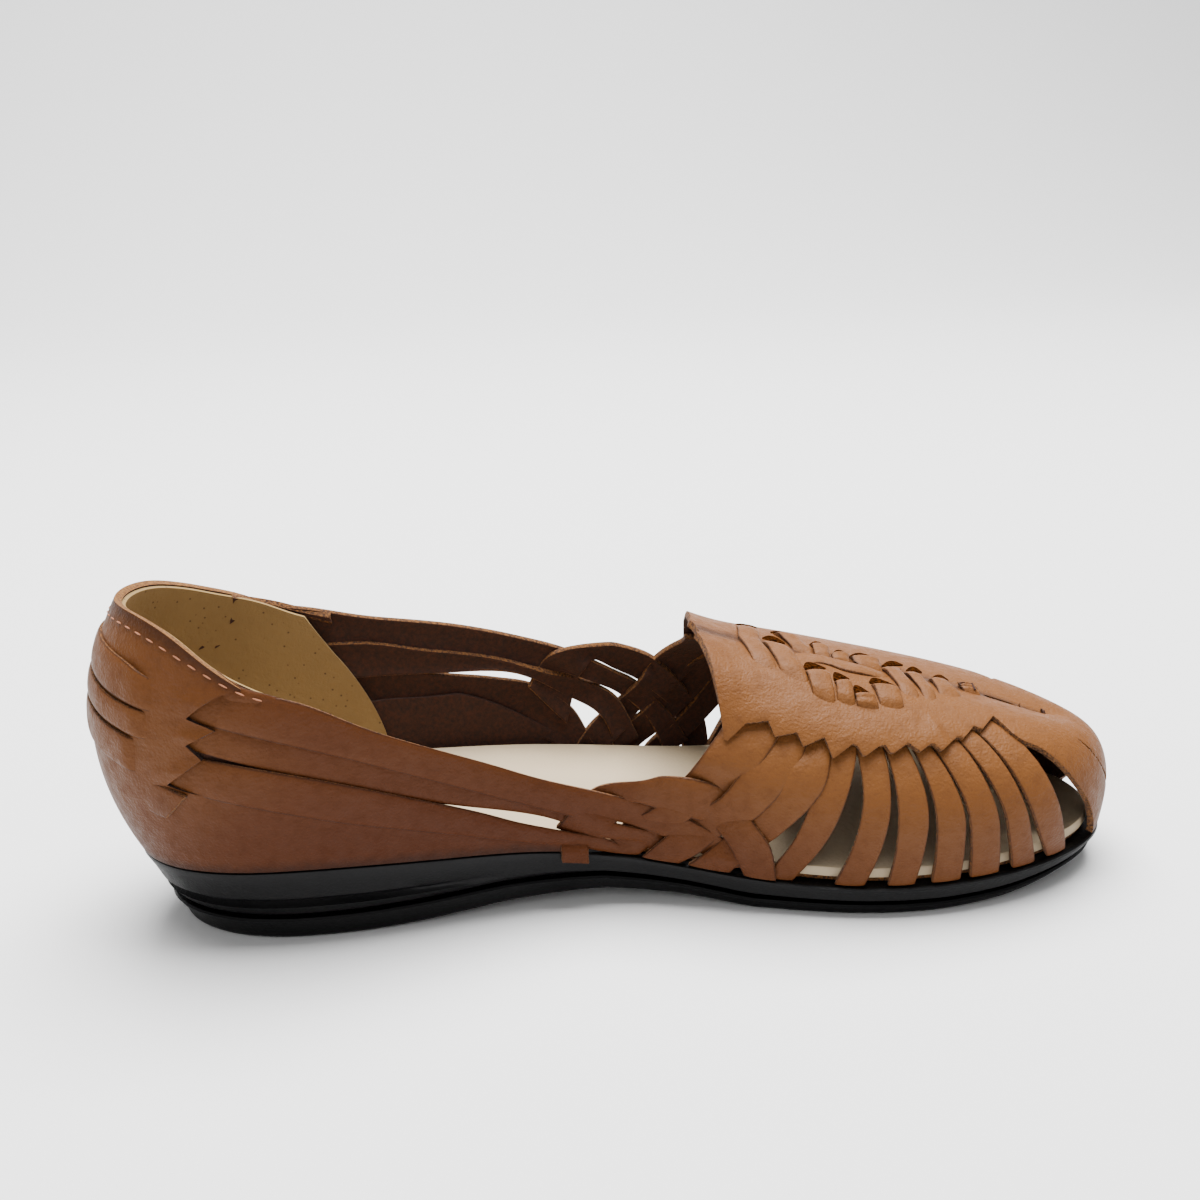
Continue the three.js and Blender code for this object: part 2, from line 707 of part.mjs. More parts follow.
// Centre weave: the near and far end of each rung, as share and climb over the ridge.
const RUNGS = table(
  ['nearShare', 'nearClimb', 'farShare', 'farClimb'],
  [
    [0.651, 0.74, 0.666, 1.15],
    [0.674, 0.7, 0.69, 1.08],
    [0.698, 0.66, 0.71, 1.22],
    [0.722, 0.64, 0.742, 1.18],
    [0.748, 0.645, 0.766, 1.15],
    [0.776, 0.68, 0.792, 1.12],
    [0.803, 0.73, 0.82, 1.06],
    [0.829, 0.765, 0.843, 1.03],
    [0.857, 0.81, 0.868, 1.06],
    [0.89, 0.87, 0.898, 1.05],
  ],
);
const RUNG_WIDTH = 5.6; // width of a rung
const RUNG_SINK = 0.3; // how far the ends of a rung dip into the plug
const LANE_RISE = 0.4; // how far the lane stands above the rungs
const LANE = [
  [[0.69, 0.86], [0.73, 0.79], [0.77, 0.79], [0.81, 0.87]],
  [[0.69, 1.0], [0.73, 0.96], [0.77, 0.95], [0.81, 1.0]],
];

function centreWeave() {
  const half = RUNG_WIDTH / 2 / LENGTH;
  const low = PLUG_RAISE - RUNG_SINK;
  const rungs = RUNGS.nearShare.map((share, k) => {
    const edge = (shift) => [
      [share + shift, RUNGS.nearClimb[k]],
      [(share + RUNGS.farShare[k]) / 2 + shift, (RUNGS.nearClimb[k] + RUNGS.farClimb[k]) / 2],
      [RUNGS.farShare[k] + shift, RUNGS.farClimb[k]],
    ];
    return strip(edge(-half), edge(half), [low, RUNG_RAISE, low], { steps: 3 });
  });
  const high = RUNG_RAISE + LANE_RISE;
  const lane = strip(LANE[0], LANE[1], [low, high, high, low], { steps: 6 });
  return [...rungs, lane];
}

// The counter wraps the heel up to the topline.
const TOPLINE = table(
  ['share', 'climb'],
  [
    [0.0, 0.375],
    [0.015, 0.378],
    [0.04, 0.371],
    [0.07, 0.35],
    [0.097, 0.321],
    [0.122, 0.296],
  ],
);
const COUNTER_BITE = 0.03; // depth of the notches in the counter's front edge, as a share of the length
const COUNTER_NOTCHES = 6; // points along that edge, every other one a notch
const COUNTER_FOOT = 0.095; // where its front edge starts on the sole
const COUNTER_END = 0.122; // where it meets the topline

function counter() {
  const top = smoothLine(TOPLINE.share.map((share) => angleOf(share)), TOPLINE.climb);
  const end = angleOf(COUNTER_END);
  const at = (drop) => (along, across) => {
    const notch = Math.round(across * COUNTER_NOTCHES) % 2 ? COUNTER_BITE : 0;
    const share = THREE.MathUtils.lerp(COUNTER_FOOT, COUNTER_END, across ** 2) - (across < 1 ? notch : 0);
    const angle = (2 * along - 1) * (across > 0 ? angleOf(share) : end);
    const rise = angle < 0 ? OUTER_RISE((1 - Math.cos(angle)) / 2) : 0;
    return skin(angle, across * (top(Math.abs(angle)) + rise), PLUG_RAISE - drop);
  };
  return plate(14, COUNTER_NOTCHES, at(0), at(WALL));
}

// The band of leather along the topline, in front of the counter.
const BAND = [
  [[0.07, 0.35], [0.097, 0.321], [0.125, 0.298], [0.165, 0.279], [0.2, 0.258]],
  [[0.08, 0.27], [0.1, 0.275], [0.125, 0.276], [0.165, 0.262], [0.2, 0.24]],
];

// Strips round the back of the heel: their upper and lower edges from the middle of the back.
const BACK_STRIPS = [
  [[[0, 0.337], [0.022, 0.327], [0.058, 0.3]], [[0, 0.296], [0.022, 0.279], [0.06, 0.259]]],
  [[[0, 0.292], [0.022, 0.275], [0.053, 0.262]], [[0, 0.258], [0.022, 0.239], [0.053, 0.221]]],
  [[[0, 0.254], [0.02, 0.236], [0.04, 0.223]], [[0, 0.203], [0.02, 0.185], [0.038, 0.171]]],
];

function backStrip([upper, lower]) {
  const whole = (edge) => [
    ...edge.slice(1).reverse().map(([share, climb]) => [-share, climb]),
    ...edge,
  ];
  const lifts = [0.2, RAISE, RAISE + 0.4, RAISE, 0.2];
  return strip(whole(lower), whole(upper), lifts, { steps: 10 });
}

// The lasting margin is turned under the foot and closes the weave into one piece.
function lastingMargin() {
  return hoop(40, (angle) => {
    const thick = new THREE.Vector3(0, 0, MARGIN_THICK);
    const edge = inset(angle, -CLEARANCE);
    const inside = inset(angle, -MARGIN);
    return [edge, edge.clone().add(thick), inside.clone().add(thick), inside];
  });
}

// The whole upper, joined into one hollow piece of leather.
function upper() {
  const pieces = [plug(), toeCap(), toePoint(), counter(), lastingMargin(), ...centreWeave()];
  pieces.push(toeStrip(TOE_BAND, 2 * TOE_DROP), toeStrip(TOE_STRIP, 3 * TOE_DROP));
  for (const side of ['inner', 'outer']) {
    pieces.push(...vampStrips(side), ...braidStrips(side));
    pieces.push(strip(BAND[0], BAND[1], BAND[0].map(() => PLUG_RAISE), { side, quarter: true }));
  }
  pieces.push(...BACK_STRIPS.map(backStrip));
  return fillPockets(join(pieces));
}

// Heel lining, inside the counter and the back of the quarters.
const LINING = table(
  ['share', 'top'],
  [
    [0.0, 0.362],
    [0.015, 0.365],
    [0.04, 0.358],
    [0.07, 0.337],
    [0.097, 0.308],
    [0.13, 0.28],
    [0.2, 0.235],
  ],
);
const LINING_FOOT = 0.035; // climb of its lower edge
const LINING_TOP_END = 0.2; // how far its upper and lower edges run forward
const LINING_FOOT_END = 0.27;

function heelLining() {
  const top = smoothLine(LINING.share.map((share) => angleOf(share)), LINING.top);
  const topEnd = angleOf(LINING_TOP_END);
  const footEnd = angleOf(LINING_FOOT_END);
  const at = (drop) => (along, across) => {
    const angle = (2 * along - 1) * THREE.MathUtils.lerp(footEnd, topEnd, across);
    const rise = angle < 0 ? OUTER_RISE((1 - Math.cos(angle)) / 2) : 0;
    const height = THREE.MathUtils.lerp(LINING_FOOT, top(Math.min(Math.abs(angle), topEnd)) + rise, across);
    return skin(angle, height, -WALL - 3 * CLEARANCE - drop);
  };
  return plate(22, 4, at(0), at(LINING_THICK));
}

function insole() {
  const edge = -(WALL + 4 * CLEARANCE + LINING_THICK);
  const low = MARGIN_THICK + CLEARANCE;
  const ring = (distance, height) => (angle) => inset(angle, distance).add(new THREE.Vector3(0, 0, height));
  return slab(48, [
    ring(edge - EDGE, low + INSOLE_THICK),
    ring(edge, low + INSOLE_THICK - EDGE),
    ring(edge, low),
  ]);
}

// The sole: its two layers part along a groove that runs all the way round.
const underside = {};
for (const name of ['lift', 'inset', 'tread', 'groove']) {
  underside[name] = straightLine(UNDERSIDE.share.map((share) => angleOf(share)), UNDERSIDE[name]);
}

function soleEdge(angle, part, distance, shift) {
  const fold = foldAngle(angle);
  const top = HEEL_SEAT * outline.seat(fold) - CLEARANCE;
  const bottom = HEEL_SEAT * underside.lift(fold);
  const lean = THREE.MathUtils.lerp(-BALL * underside.inset(fold), WELT, part);
  const point = inset(angle, lean + distance);
  point.z = THREE.MathUtils.lerp(bottom, top, part) + shift;
  return point;
}

function partingShare(angle) {
  const fold = foldAngle(angle);
  const top = HEEL_SEAT * outline.seat(fold) - CLEARANCE;
  const bottom = HEEL_SEAT * underside.lift(fold);
  return (TREAD * underside.tread(fold)) / (top - bottom);
}

const GROOVE_PLACE = 0.33; // height of the heel groove between the parting and the top of the sole
const GROOVE_LIPS = 0.07; // half its height, as a share of the same

function midsole() {
  const half = CLEARANCE / 2;
  const level = (share) => (angle) => THREE.MathUtils.lerp(partingShare(angle), 1, share);
  const ring = (share, distance, shift) => (angle) => {
    const depth = typeof distance === 'function' ? distance(angle) : distance;
    return soleEdge(angle, level(share)(angle), depth, shift);
  };
  const depth = (angle) => -HEEL_GROOVE * underside.groove(foldAngle(angle));
  return slab(48, [
    ring(1, -EDGE, 0),
    ring(1, 0, -EDGE),
    ring(GROOVE_PLACE + GROOVE_LIPS, 0, 0),
    ring(GROOVE_PLACE + GROOVE_LIPS / 2, depth, 0),
    ring(GROOVE_PLACE - GROOVE_LIPS / 2, depth, 0),
    ring(GROOVE_PLACE - GROOVE_LIPS, 0, 0),
    ring(0, 0, half + EDGE),
    ring(0, -EDGE, half),
  ]);
}

// Tread grooves: where the rows of bars start and end, as shares of the length.
const TREAD_ROWS = [
  [0.045, 0.245],
  [0.6, 0.8],
];
const TREAD_REACH = 0.3; // half the length of a tread groove, as a share of the ball width
const TREAD_RIM = 0.14; // rubber left at each end of a groove, as a share of the ball width

function outsole() {
  const half = CLEARANCE / 2;
  const ring = (part, distance, shift) => (angle) => soleEdge(angle, part(angle), distance, shift);
  const body = slab(48, [
    ring(partingShare, -EDGE, -half),
    ring(partingShare, 0, -half - EDGE),
    ring(() => 0, 0, EDGE),
    ring(() => 0, -EDGE, 0),
  ]);
  let piece = toManifold(body);
  for (const [start, end] of TREAD_ROWS) {
    const middle = (start + end) / 2 * LENGTH;
    const count = Math.floor((((end - start) * LENGTH) / LUG_PITCH - 1) / 2);
    for (let k = -count - 0.5; k <= count + 0.5; k += 1) {
      const x = middle + k * LUG_PITCH;
      const share = x / LENGTH;
      const reach = 2 * BALL * Math.min(TREAD_REACH, outline.half(angleOf(share)) - TREAD_RIM);
      const groove = new THREE.BoxGeometry(LUG_GROOVE, reach, 2 * LUG_DEPTH);
      groove.translate(x - HEEL_CENTRE * LENGTH, BALL * outline.middle(angleOf(share)), 0);
      piece = piece.subtract(toManifold(groove));
    }
  }
  return toGeometry(piece);
}

// Assembly
const group = new THREE.Group();

function add(name, geometry, color, roughness) {
  const material = new THREE.MeshStandardMaterial({ color, roughness, metalness: 0 });
  const mesh = new THREE.Mesh(geometry, material);
  mesh.name = name;
  group.add(mesh);
}

add('outsole', outsole(), '#1c1b1d', 0.6);
add('midsole', midsole(), '#232124', 0.55);
add('insole', insole(), '#d8c9a8', 0.8);
add('upper', upper(), '#a8754c', 0.65);
add('heel_lining', heelLining(), '#9d8a5c', 0.9);

export default group;
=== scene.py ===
import math
import bpy
import numpy as np
from mathutils import Matrix, Vector


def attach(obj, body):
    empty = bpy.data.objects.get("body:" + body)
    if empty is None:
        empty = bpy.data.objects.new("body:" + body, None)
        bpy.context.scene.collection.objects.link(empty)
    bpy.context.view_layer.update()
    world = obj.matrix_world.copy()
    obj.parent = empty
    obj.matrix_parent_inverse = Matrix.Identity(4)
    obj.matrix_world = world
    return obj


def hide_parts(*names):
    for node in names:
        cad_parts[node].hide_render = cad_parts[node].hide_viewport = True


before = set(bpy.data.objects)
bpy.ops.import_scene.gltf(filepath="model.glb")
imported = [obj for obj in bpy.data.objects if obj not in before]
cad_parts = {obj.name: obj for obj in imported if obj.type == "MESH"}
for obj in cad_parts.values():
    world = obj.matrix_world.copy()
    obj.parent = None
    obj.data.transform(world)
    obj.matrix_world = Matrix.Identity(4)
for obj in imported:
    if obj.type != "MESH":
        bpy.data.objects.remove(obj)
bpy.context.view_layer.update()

# Camera. The shoe is seen from its inner side, a little from above, toe to the right.
# Its place and turn are fitted to the outline of the last, with no shift.
CAMERA_PLACE = Vector((0.027, -0.3856, 0.2073))
CAMERA_YAW = math.radians(8.35)
CAMERA_PITCH = math.radians(18.8)
CAMERA_ROLL = math.radians(1.3)
CAMERA_LENS = 48.45  # on a 36 mm frame

ahead = Vector((
    math.sin(CAMERA_YAW) * math.cos(CAMERA_PITCH),
    math.cos(CAMERA_YAW) * math.cos(CAMERA_PITCH),
    -math.sin(CAMERA_PITCH),
))
level = Vector((math.cos(CAMERA_YAW), -math.sin(CAMERA_YAW), 0))
below = ahead.cross(level)
right = math.cos(CAMERA_ROLL) * level + math.sin(CAMERA_ROLL) * below
down = math.cos(CAMERA_ROLL) * below - math.sin(CAMERA_ROLL) * level
bpy.ops.object.camera_add()
camera = bpy.context.object
camera.name = "camera"
camera.matrix_world = Matrix.Translation(CAMERA_PLACE) @ Matrix((right, -down, -ahead)).transposed().to_4x4()
camera.data.lens = CAMERA_LENS
camera.data.sensor_width = 36
camera.data.clip_start = 0.01
bpy.context.scene.camera = camera


# Shader nodes. Plain Python expressions on sockets add Math nodes; any other node comes from node().
# Every pattern is laid in object space or along a piece's own UV map.
class Sock:
    def __init__(self, surface, socket):
        self.surface = surface
        self.socket = socket

    def _math(self, operation, other, flipped=False):
        values = (other, self) if flipped else (self, other)
        return self.surface.node("ShaderNodeMath", {"operation": operation}, {0: values[0], 1: values[1]})

    def __add__(self, other): return self._math("ADD", other)
    def __sub__(self, other): return self._math("SUBTRACT", other)
    def __rsub__(self, other): return self._math("SUBTRACT", other, True)
    def __mul__(self, other): return self._math("MULTIPLY", other)

    def between(self, low, high):
        return self.surface.node(
            "ShaderNodeMapRange", {"interpolation_type": "SMOOTHSTEP"}, {0: self, 1: low, 2: high})


class Surface:
    def __init__(self, name, roughness, **fixed):
        self.material = bpy.data.materials.new(name)
        self.material.use_nodes = True
        self.tree = self.material.node_tree
        self.shader = self.tree.nodes["Principled BSDF"]
        self.set("Roughness", roughness)
        for socket, value in fixed.items():
            self.set(socket.replace("_", " "), value)

    def node(self, kind, settings=None, inputs=None, output=0):
        made = self.tree.nodes.new(kind)
        for key, value in (settings or {}).items():
            setattr(made, key, value)
        for key, value in (inputs or {}).items():
            if isinstance(value, Sock):
                self.tree.links.new(value.socket, made.inputs[key])
            else:
                made.inputs[key].default_value = value
        return Sock(self, made.outputs[output])

    def set(self, name, value):
        if isinstance(value, Sock):
            self.tree.links.new(value.socket, self.shader.inputs[name])
        else:
            self.shader.inputs[name].default_value = value

    def place(self, kind="Object"):
        return self.node("ShaderNodeTexCoord", output=kind)

    def part_of(self, place, axis):
        return self.node("ShaderNodeSeparateXYZ", {}, {0: place}, axis)

    def noise(self, scale, detail=4, rough=0.55):
        return self.node("ShaderNodeTexNoise", {}, {
            "Vector": self.place(), "Scale": scale, "Detail": detail, "Roughness": rough})

    def cells(self, scale, feature="F1"):
        return self.node("ShaderNodeTexVoronoi", {"feature": feature}, {
            "Vector": self.place(), "Scale": scale})

    def mix(self, factor, one, other):
        return self.node("ShaderNodeMix", {"data_type": "RGBA"}, {0: factor, 6: one, 7: other}, 2)

    def bump(self, height, distance, strength, under=None):
        inputs = {"Height": height, "Distance": distance, "Strength": strength}
        if under:
            inputs["Normal"] = under
        return self.node("ShaderNodeBump", {}, inputs)


def colour(red, green, blue):
    # a colour as the eye reads it on a screen, 0 to 255, as the renderer needs it
    def linear(value):
        value /= 255
        return value / 12.92 if value <= 0.04045 else ((value + 0.055) / 1.055) ** 2.4
    return (linear(red), linear(green), linear(blue), 1)


# Floor. A plain pale studio sweep: a flat floor that curves up behind the shoe, matt and even. It
# lies a hair below the sole, so that the two share no face.
FLOOR_HALF = 2.5
FLOOR_RUN = 7  # from its front edge to its far edge, along the curve
FLOOR_BEND = 0.9  # how far behind the shoe the sweep starts to rise
FLOOR_RADIUS = 0.8
FLOOR_DROP = 0.0002

bpy.ops.object.select_all(action="DESELECT")
bpy.ops.mesh.primitive_grid_add(x_subdivisions=2, y_subdivisions=80, size=2)
floor = bpy.context.object
floor.name = "floor"
for vertex in floor.data.vertices:
    run = (vertex.co.y + 1) / 2 * FLOOR_RUN - FLOOR_HALF
    turn = min(max((run - FLOOR_BEND) / FLOOR_RADIUS, 0), math.pi / 2)
    rest = max(run - FLOOR_BEND - turn * FLOOR_RADIUS, 0)
    vertex.co = (
        vertex.co.x * 2 * FLOOR_HALF,
        min(run, FLOOR_BEND) + FLOOR_RADIUS * math.sin(turn),
        FLOOR_RADIUS * (1 - math.cos(turn)) + rest - FLOOR_DROP,
    )
bpy.ops.object.shade_smooth()
paper = Surface("studio_paper", 0.85)
paper.set("Base Color", colour(236, 236, 236))
floor.data.materials.append(paper.material)

# Light. A large soft box above and behind gives the soft shade under the shoe; a weaker one from
# the front left and an even pale room keep the near side clear.
for name, place, aim, size, power in (
    ("top_light", (0.15, 0.3, 1.3), (0.1, 0, 0), 1.2, 84),
    ("front_light", (-0.5, -1.4, 0.9), (0.1, 0, 0.03), 1.2, 5),
):
    bpy.ops.object.light_add(type="AREA", location=place)
    lamp = bpy.context.object
    lamp.name = name
    lamp.data.size = size
    lamp.data.energy = power
    lamp.rotation_euler = (Vector(aim) - Vector(place)).to_track_quat("-Z", "Y").to_euler()
world = bpy.data.worlds.new("studio_room")
bpy.context.scene.world = world
world.use_nodes = True
world.node_tree.nodes["Background"].inputs["Color"].default_value = (1, 1, 1, 1)
world.node_tree.nodes["Background"].inputs["Strength"].default_value = 0.42


# The last. The shoe is built round it: a closed outline, the feather edge, with a section that
# climbs from there to a ridge. A place on it is an angle round the outline, 0 at the heel and
# pi at the toe, and a climb from 0 at the feather edge to 1 at the ridge.
LENGTH = 0.25
BALL = 0.088  # width of the feather edge at the ball of the foot
HEEL_SEAT = 0.0216  # height of the feather edge under the heel
INSTEP = 0.066
BACK_CURVE = 0.0086  # how far the back stands out behind the feather edge
BACK_LEVEL = 0.032  # height above the feather edge where it stands out most
HEEL_CENTRE = 0.14  # origin, as a share of the length
OUTLINE = {
    "share": (0, 0.03, 0.1, 0.2, 0.3, 0.4, 0.5, 0.6, 0.7, 0.78, 0.86, 0.93, 0.98, 1),
    "middle": (0, 0, 0, 0.01, 0.04, 0.082, 0.09, 0.057, 0.018, -0.015, -0.05, -0.08, -0.105, -0.12),
    "half": (0, 0.201, 0.318, 0.35, 0.348, 0.347, 0.374, 0.434, 0.487, 0.48, 0.42, 0.318, 0.18, 0),
    "seat": (0.907, 0.944, 1, 1, 0.926, 0.806, 0.634, 0.472, 0.407, 0.407, 0.426, 0.454, 0.472, 0.481),
    "square": (5, 5, 5, 4.6, 3.8, 3, 2.5, 2.3, 2.3, 2.4, 2.6, 2.9, 3, 3),
    "belly": (0, 0, 0, 0, 0, 0.006, 0.011, 0.023, 0.028, 0.028, 0.028, 0.028, 0.028, 0.028),
    "back": (1, 0.8, 0.42, 0.2, 0.06, 0, 0, 0, 0, 0, 0, 0, 0, 0),
}
RIDGE = {
    "share": (0, 0.15, 0.3, 0.42, 0.5, 0.57, 0.64, 0.72, 0.8, 0.88, 0.95),
    "side": (0, 0, 0.023, 0.023, 0.006, -0.017, -0.034, -0.057, -0.08, -0.102, -0.114),
    "height": (1.788, 1.788, 1.636, 1.364, 1.152, 0.992, 0.909, 0.826, 0.742, 0.644, 0.538),
}
RIDGE_START = 0.012
RIDGE_RUN = 0.93
STEP = 1e-3


def smooth_line(xs, ys):
    xs, ys = np.array(xs, float), np.array(ys, float)
    gap = np.diff(xs)
    rows = np.eye(len(xs))
    known = np.zeros(len(xs))
    for k in range(1, len(xs) - 1):
        rows[k, k - 1:k + 2] = gap[k - 1], 2 * (gap[k - 1] + gap[k]), gap[k]
        known[k] = 6 * ((ys[k + 1] - ys[k]) / gap[k] - (ys[k] - ys[k - 1]) / gap[k - 1])
    bend = np.linalg.solve(rows, known)

    def at(x):
        k = np.clip(np.searchsorted(xs, x), 1, len(xs) - 1)
        a = (xs[k] - x) / gap[k - 1]
        b = (x - xs[k - 1]) / gap[k - 1]
        curve = ((a ** 3 - a) * bend[k - 1] + (b ** 3 - b) * bend[k]) * gap[k - 1] ** 2 / 6
        return a * ys[k - 1] + b * ys[k] + curve
    return at


def angle_of(share):
    share = np.asarray(share, float)
    near = np.arccos(1 - 2 * np.clip(np.abs(share), 0, 1)) * np.where(share < 0, -1, 1)
    past = 2 * math.pi - np.arccos(1 - 2 * np.clip(2 - share, 0, 1))
    return np.where(share > 1, past, near)


def fold(angle):
    return np.arccos(np.clip(np.cos(angle), -1, 1))


last = {key: smooth_line(angle_of(OUTLINE["share"]), OUTLINE[key]) for key in OUTLINE if key != "share"}
ridge_side = smooth_line(RIDGE["share"], RIDGE["side"])
ridge_height = smooth_line(RIDGE["share"], RIDGE["height"])


def feather(angle):
    folded = fold(angle)
    side = np.where(np.sin(angle) >= 0, -1, 1)
    return np.stack([
        LENGTH * ((1 - np.cos(folded)) / 2 - HEEL_CENTRE),
        BALL * (last["middle"](folded) + side * np.maximum(last["half"](folded), 0)),
        HEEL_SEAT * last["seat"](folded),
    ], -1)


def outward(angle):
    run = feather(angle + STEP) - feather(angle - STEP)
    way = np.stack([run[..., 1], -run[..., 0], 0 * run[..., 0]], -1)
    return way / np.linalg.norm(way, axis=-1, keepdims=True)


def seat_at(x):
    return HEEL_SEAT * last["seat"](angle_of(np.clip(x / LENGTH + HEEL_CENTRE, 0, 1)))


def inset(angle, distance):
    point = feather(angle) + outward(angle) * np.reshape(distance, (-1, 1))
    point[:, 2] = seat_at(point[:, 0])
    return point


def column(angle, climb):
    folded = fold(angle)
    foot = feather(angle)
    share = RIDGE_START + RIDGE_RUN * (1 - np.cos(folded)) / 2
    top = np.stack([
        LENGTH * (share - HEEL_CENTRE), BALL * ridge_side(share), INSTEP * ridge_height(share)], -1)
    square = last["square"](folded)
    turn = np.clip(climb, 0, 1) * math.pi / 2
    reach = (np.cos(turn) ** square + np.sin(turn) ** square) ** (-1 / square)
    height = (top[:, 2] - foot[:, 2]) * reach * np.sin(turn)
    back = 1 - ((height - BACK_LEVEL) / BACK_LEVEL) ** 2
    bulge = BALL * last["belly"](folded) * np.sin(math.pi * climb)
    bulge = bulge + BACK_CURVE * np.maximum(last["back"](folded), 0) * back
    point = foot + (top - foot) * (1 - reach * np.cos(turn))[:, None] + outward(angle) * bulge[:, None]
    point[:, 2] = foot[:, 2] + height
    return point


def skin(angle, climb, lift):
    # a point on the last, lifted off it; a climb past 1 goes over the ridge to the other side
    over = climb > 1
    angle = np.where(over, -angle, angle)
    climb = np.maximum(np.where(over, 2 - climb, climb), 0)
    run = column(angle + STEP, climb) - column(angle - STEP, climb)
    rise = column(angle, np.minimum(climb + STEP, 1)) - column(angle, np.maximum(climb - STEP, 0))
    normal = np.cross(run, rise)
    normal /= np.maximum(np.linalg.norm(normal, axis=1, keepdims=True), 1e-12)
    point = column(angle, climb) + normal * np.reshape(lift, (-1, 1))
    point[:, 2] = np.maximum(point[:, 2], feather(angle)[:, 2])
    return point


# Sole. Two layers of moulded black rubber under the whole foot, bonded along a groove: a wedge
# with a deep groove round the heel, and a tread layer with bars across heel and forefoot.
WELT = 0.0007  # how far the sole stands out past the feather edge
SOLE_SEAT = 0.0003  # how far its top lies below the feather edge
TREAD = 0.0066  # thickness of the tread layer under the heel
PART = 0.0009  # half width of the groove between the layers, on the wedge's side
TREAD_PART = 0.3 * PART  # and on the tread's side
GROOVE = 0.0017  # depth of the groove round the heel
GROOVE_PLACE, GROOVE_HALF = 0.33, 0.1  # shares of the wedge's height
LUG_PITCH, LUG_GROOVE, LUG_DEPTH = 0.011, 0.0024, 0.0016
LUG_RUNS = ((0.045, 0.245), (0.6, 0.8))  # where the cuts between bars start and end, by share
LUG_HALF, LUG_SHORT = 0.3, 0.14  # half of its widest cut and its distance from the edge, in ball widths
UNDERSIDE = {
    "share": (0, 0.06, 0.14, 0.22, 0.28, 0.36, 0.46, 0.54, 0.6, 0.7, 0.79, 0.86, 0.94, 1),
    "lift": (0, 0, 0, 0, 0.03, 0.11, 0.16, 0.09, 0, 0, 0, 0.04, 0.14, 0.24),
    "inset": (0.1, 0.075, 0.06, 0.055, 0.05, 0.04, 0.03, 0.026, 0.022, 0.02, 0.02, 0.02, 0.024, 0.03),
    "tread": (1, 1, 1, 1, 0.98, 0.9, 0.72, 0.6, 0.54, 0.52, 0.5, 0.46, 0.4, 0.34),
    "groove": (1, 1, 1, 1, 0.6, 0, 0, 0, 0, 0, 0, 0, 0, 0),
}
# rings of the layers: share of the height above the parting, distance out, shift up
WEDGE_TOP = (
    (1, -0.0012, 0), (1, -0.0005, -0.0001), (1, -0.0001, -0.0004), (1, 0, -0.0009), (0.72, 0.0001, 0),
)
WEDGE_LOW = ((0, 0, PART + 0.0006), (0, -0.0004, PART + 0.0001), (0, -0.0016, PART))
TREAD_TOP = ((0, -0.0016, -TREAD_PART), (0, -0.0004, -TREAD_PART - 0.0001), (0, 0, -TREAD_PART - 0.0006))
TREAD_LOW = ((0.0003, 0.0022), (0, 0.001), (-0.0004, 0.0003), (-0.0012, 0))  # counted from the underside


def underside(key, angle):
    return np.interp(fold(angle), angle_of(UNDERSIDE["share"]), UNDERSIDE[key])


def sole_heights(angle):
    return HEEL_SEAT * underside("lift", angle), HEEL_SEAT * last["seat"](fold(angle)) - SOLE_SEAT


def sole_edge(angle, part, distance, shift):
    # a place on the sole's side: a share of its height, a distance out and a shift up
    bottom, top = sole_heights(angle)
    lean = -BALL * underside("inset", angle)
    point = inset(angle, lean + (WELT - lean) * part + distance)
    point[:, 2] = bottom + (top - bottom) * part + shift
    return point


def wedge_share(angle, share):
    # a share of the wedge's height becomes a share of the whole sole's height
    bottom, top = sole_heights(angle)
    parting = TREAD * underside("tread", angle) / (top - bottom)
    return parting + (1 - parting) * share


def above_parting(share, distance, shift):
    return lambda angle: sole_edge(angle, wedge_share(angle, share), distance, shift)


def above_floor(distance, shift):
    return lambda angle: sole_edge(angle, 0 * angle, distance, shift)


def groove_ring(turn):
    # one ring of the groove round the heel; turn runs from 0 at its upper edge to 1 at its lower one
    share = GROOVE_PLACE + GROOVE_HALF * (1 - 2 * turn)
    sink = GROOVE * math.sin(math.pi * turn)
    return lambda angle: sole_edge(angle, wedge_share(angle, share), -sink * underside("groove", angle), 0)


def work_on(*pieces):
    # selects these pieces alone and makes the first one active
    bpy.ops.object.select_all(action="DESELECT")
    for piece in pieces:
        piece.select_set(True)
    bpy.context.view_layer.objects.active = pieces[0]


def finish_mesh(piece, surfaces, smooth):
    work_on(piece)
    for surface in surfaces:
        piece.data.materials.append(surface.material)
    bpy.ops.object.shade_smooth_by_angle(angle=math.radians(smooth))


def grid(name, columns, rows, place, closed=False):
    # a grid of faces with its own UV map, whose corners are laid at place(along, across)
    bpy.ops.object.select_all(action="DESELECT")
    bpy.ops.mesh.primitive_grid_add(x_subdivisions=columns, y_subdivisions=rows, size=2, calc_uvs=True)
    piece = bpy.context.object
    piece.name = name
    count = len(piece.data.vertices)
    corners = np.empty(3 * count)
    piece.data.vertices.foreach_get("co", corners)
    corners = corners.reshape(-1, 3)
    points = place((corners[:, 0] + 1) / 2, (corners[:, 1] + 1) / 2)
    piece.data.vertices.foreach_set("co", points.ravel())
    if closed:
        bpy.ops.object.mode_set(mode="EDIT")
        bpy.ops.mesh.select_all(action="SELECT")
        bpy.ops.mesh.remove_doubles(threshold=2e-5)
        bpy.ops.mesh.normals_make_consistent(inside=False)
        bpy.ops.object.mode_set(mode="OBJECT")
    return piece


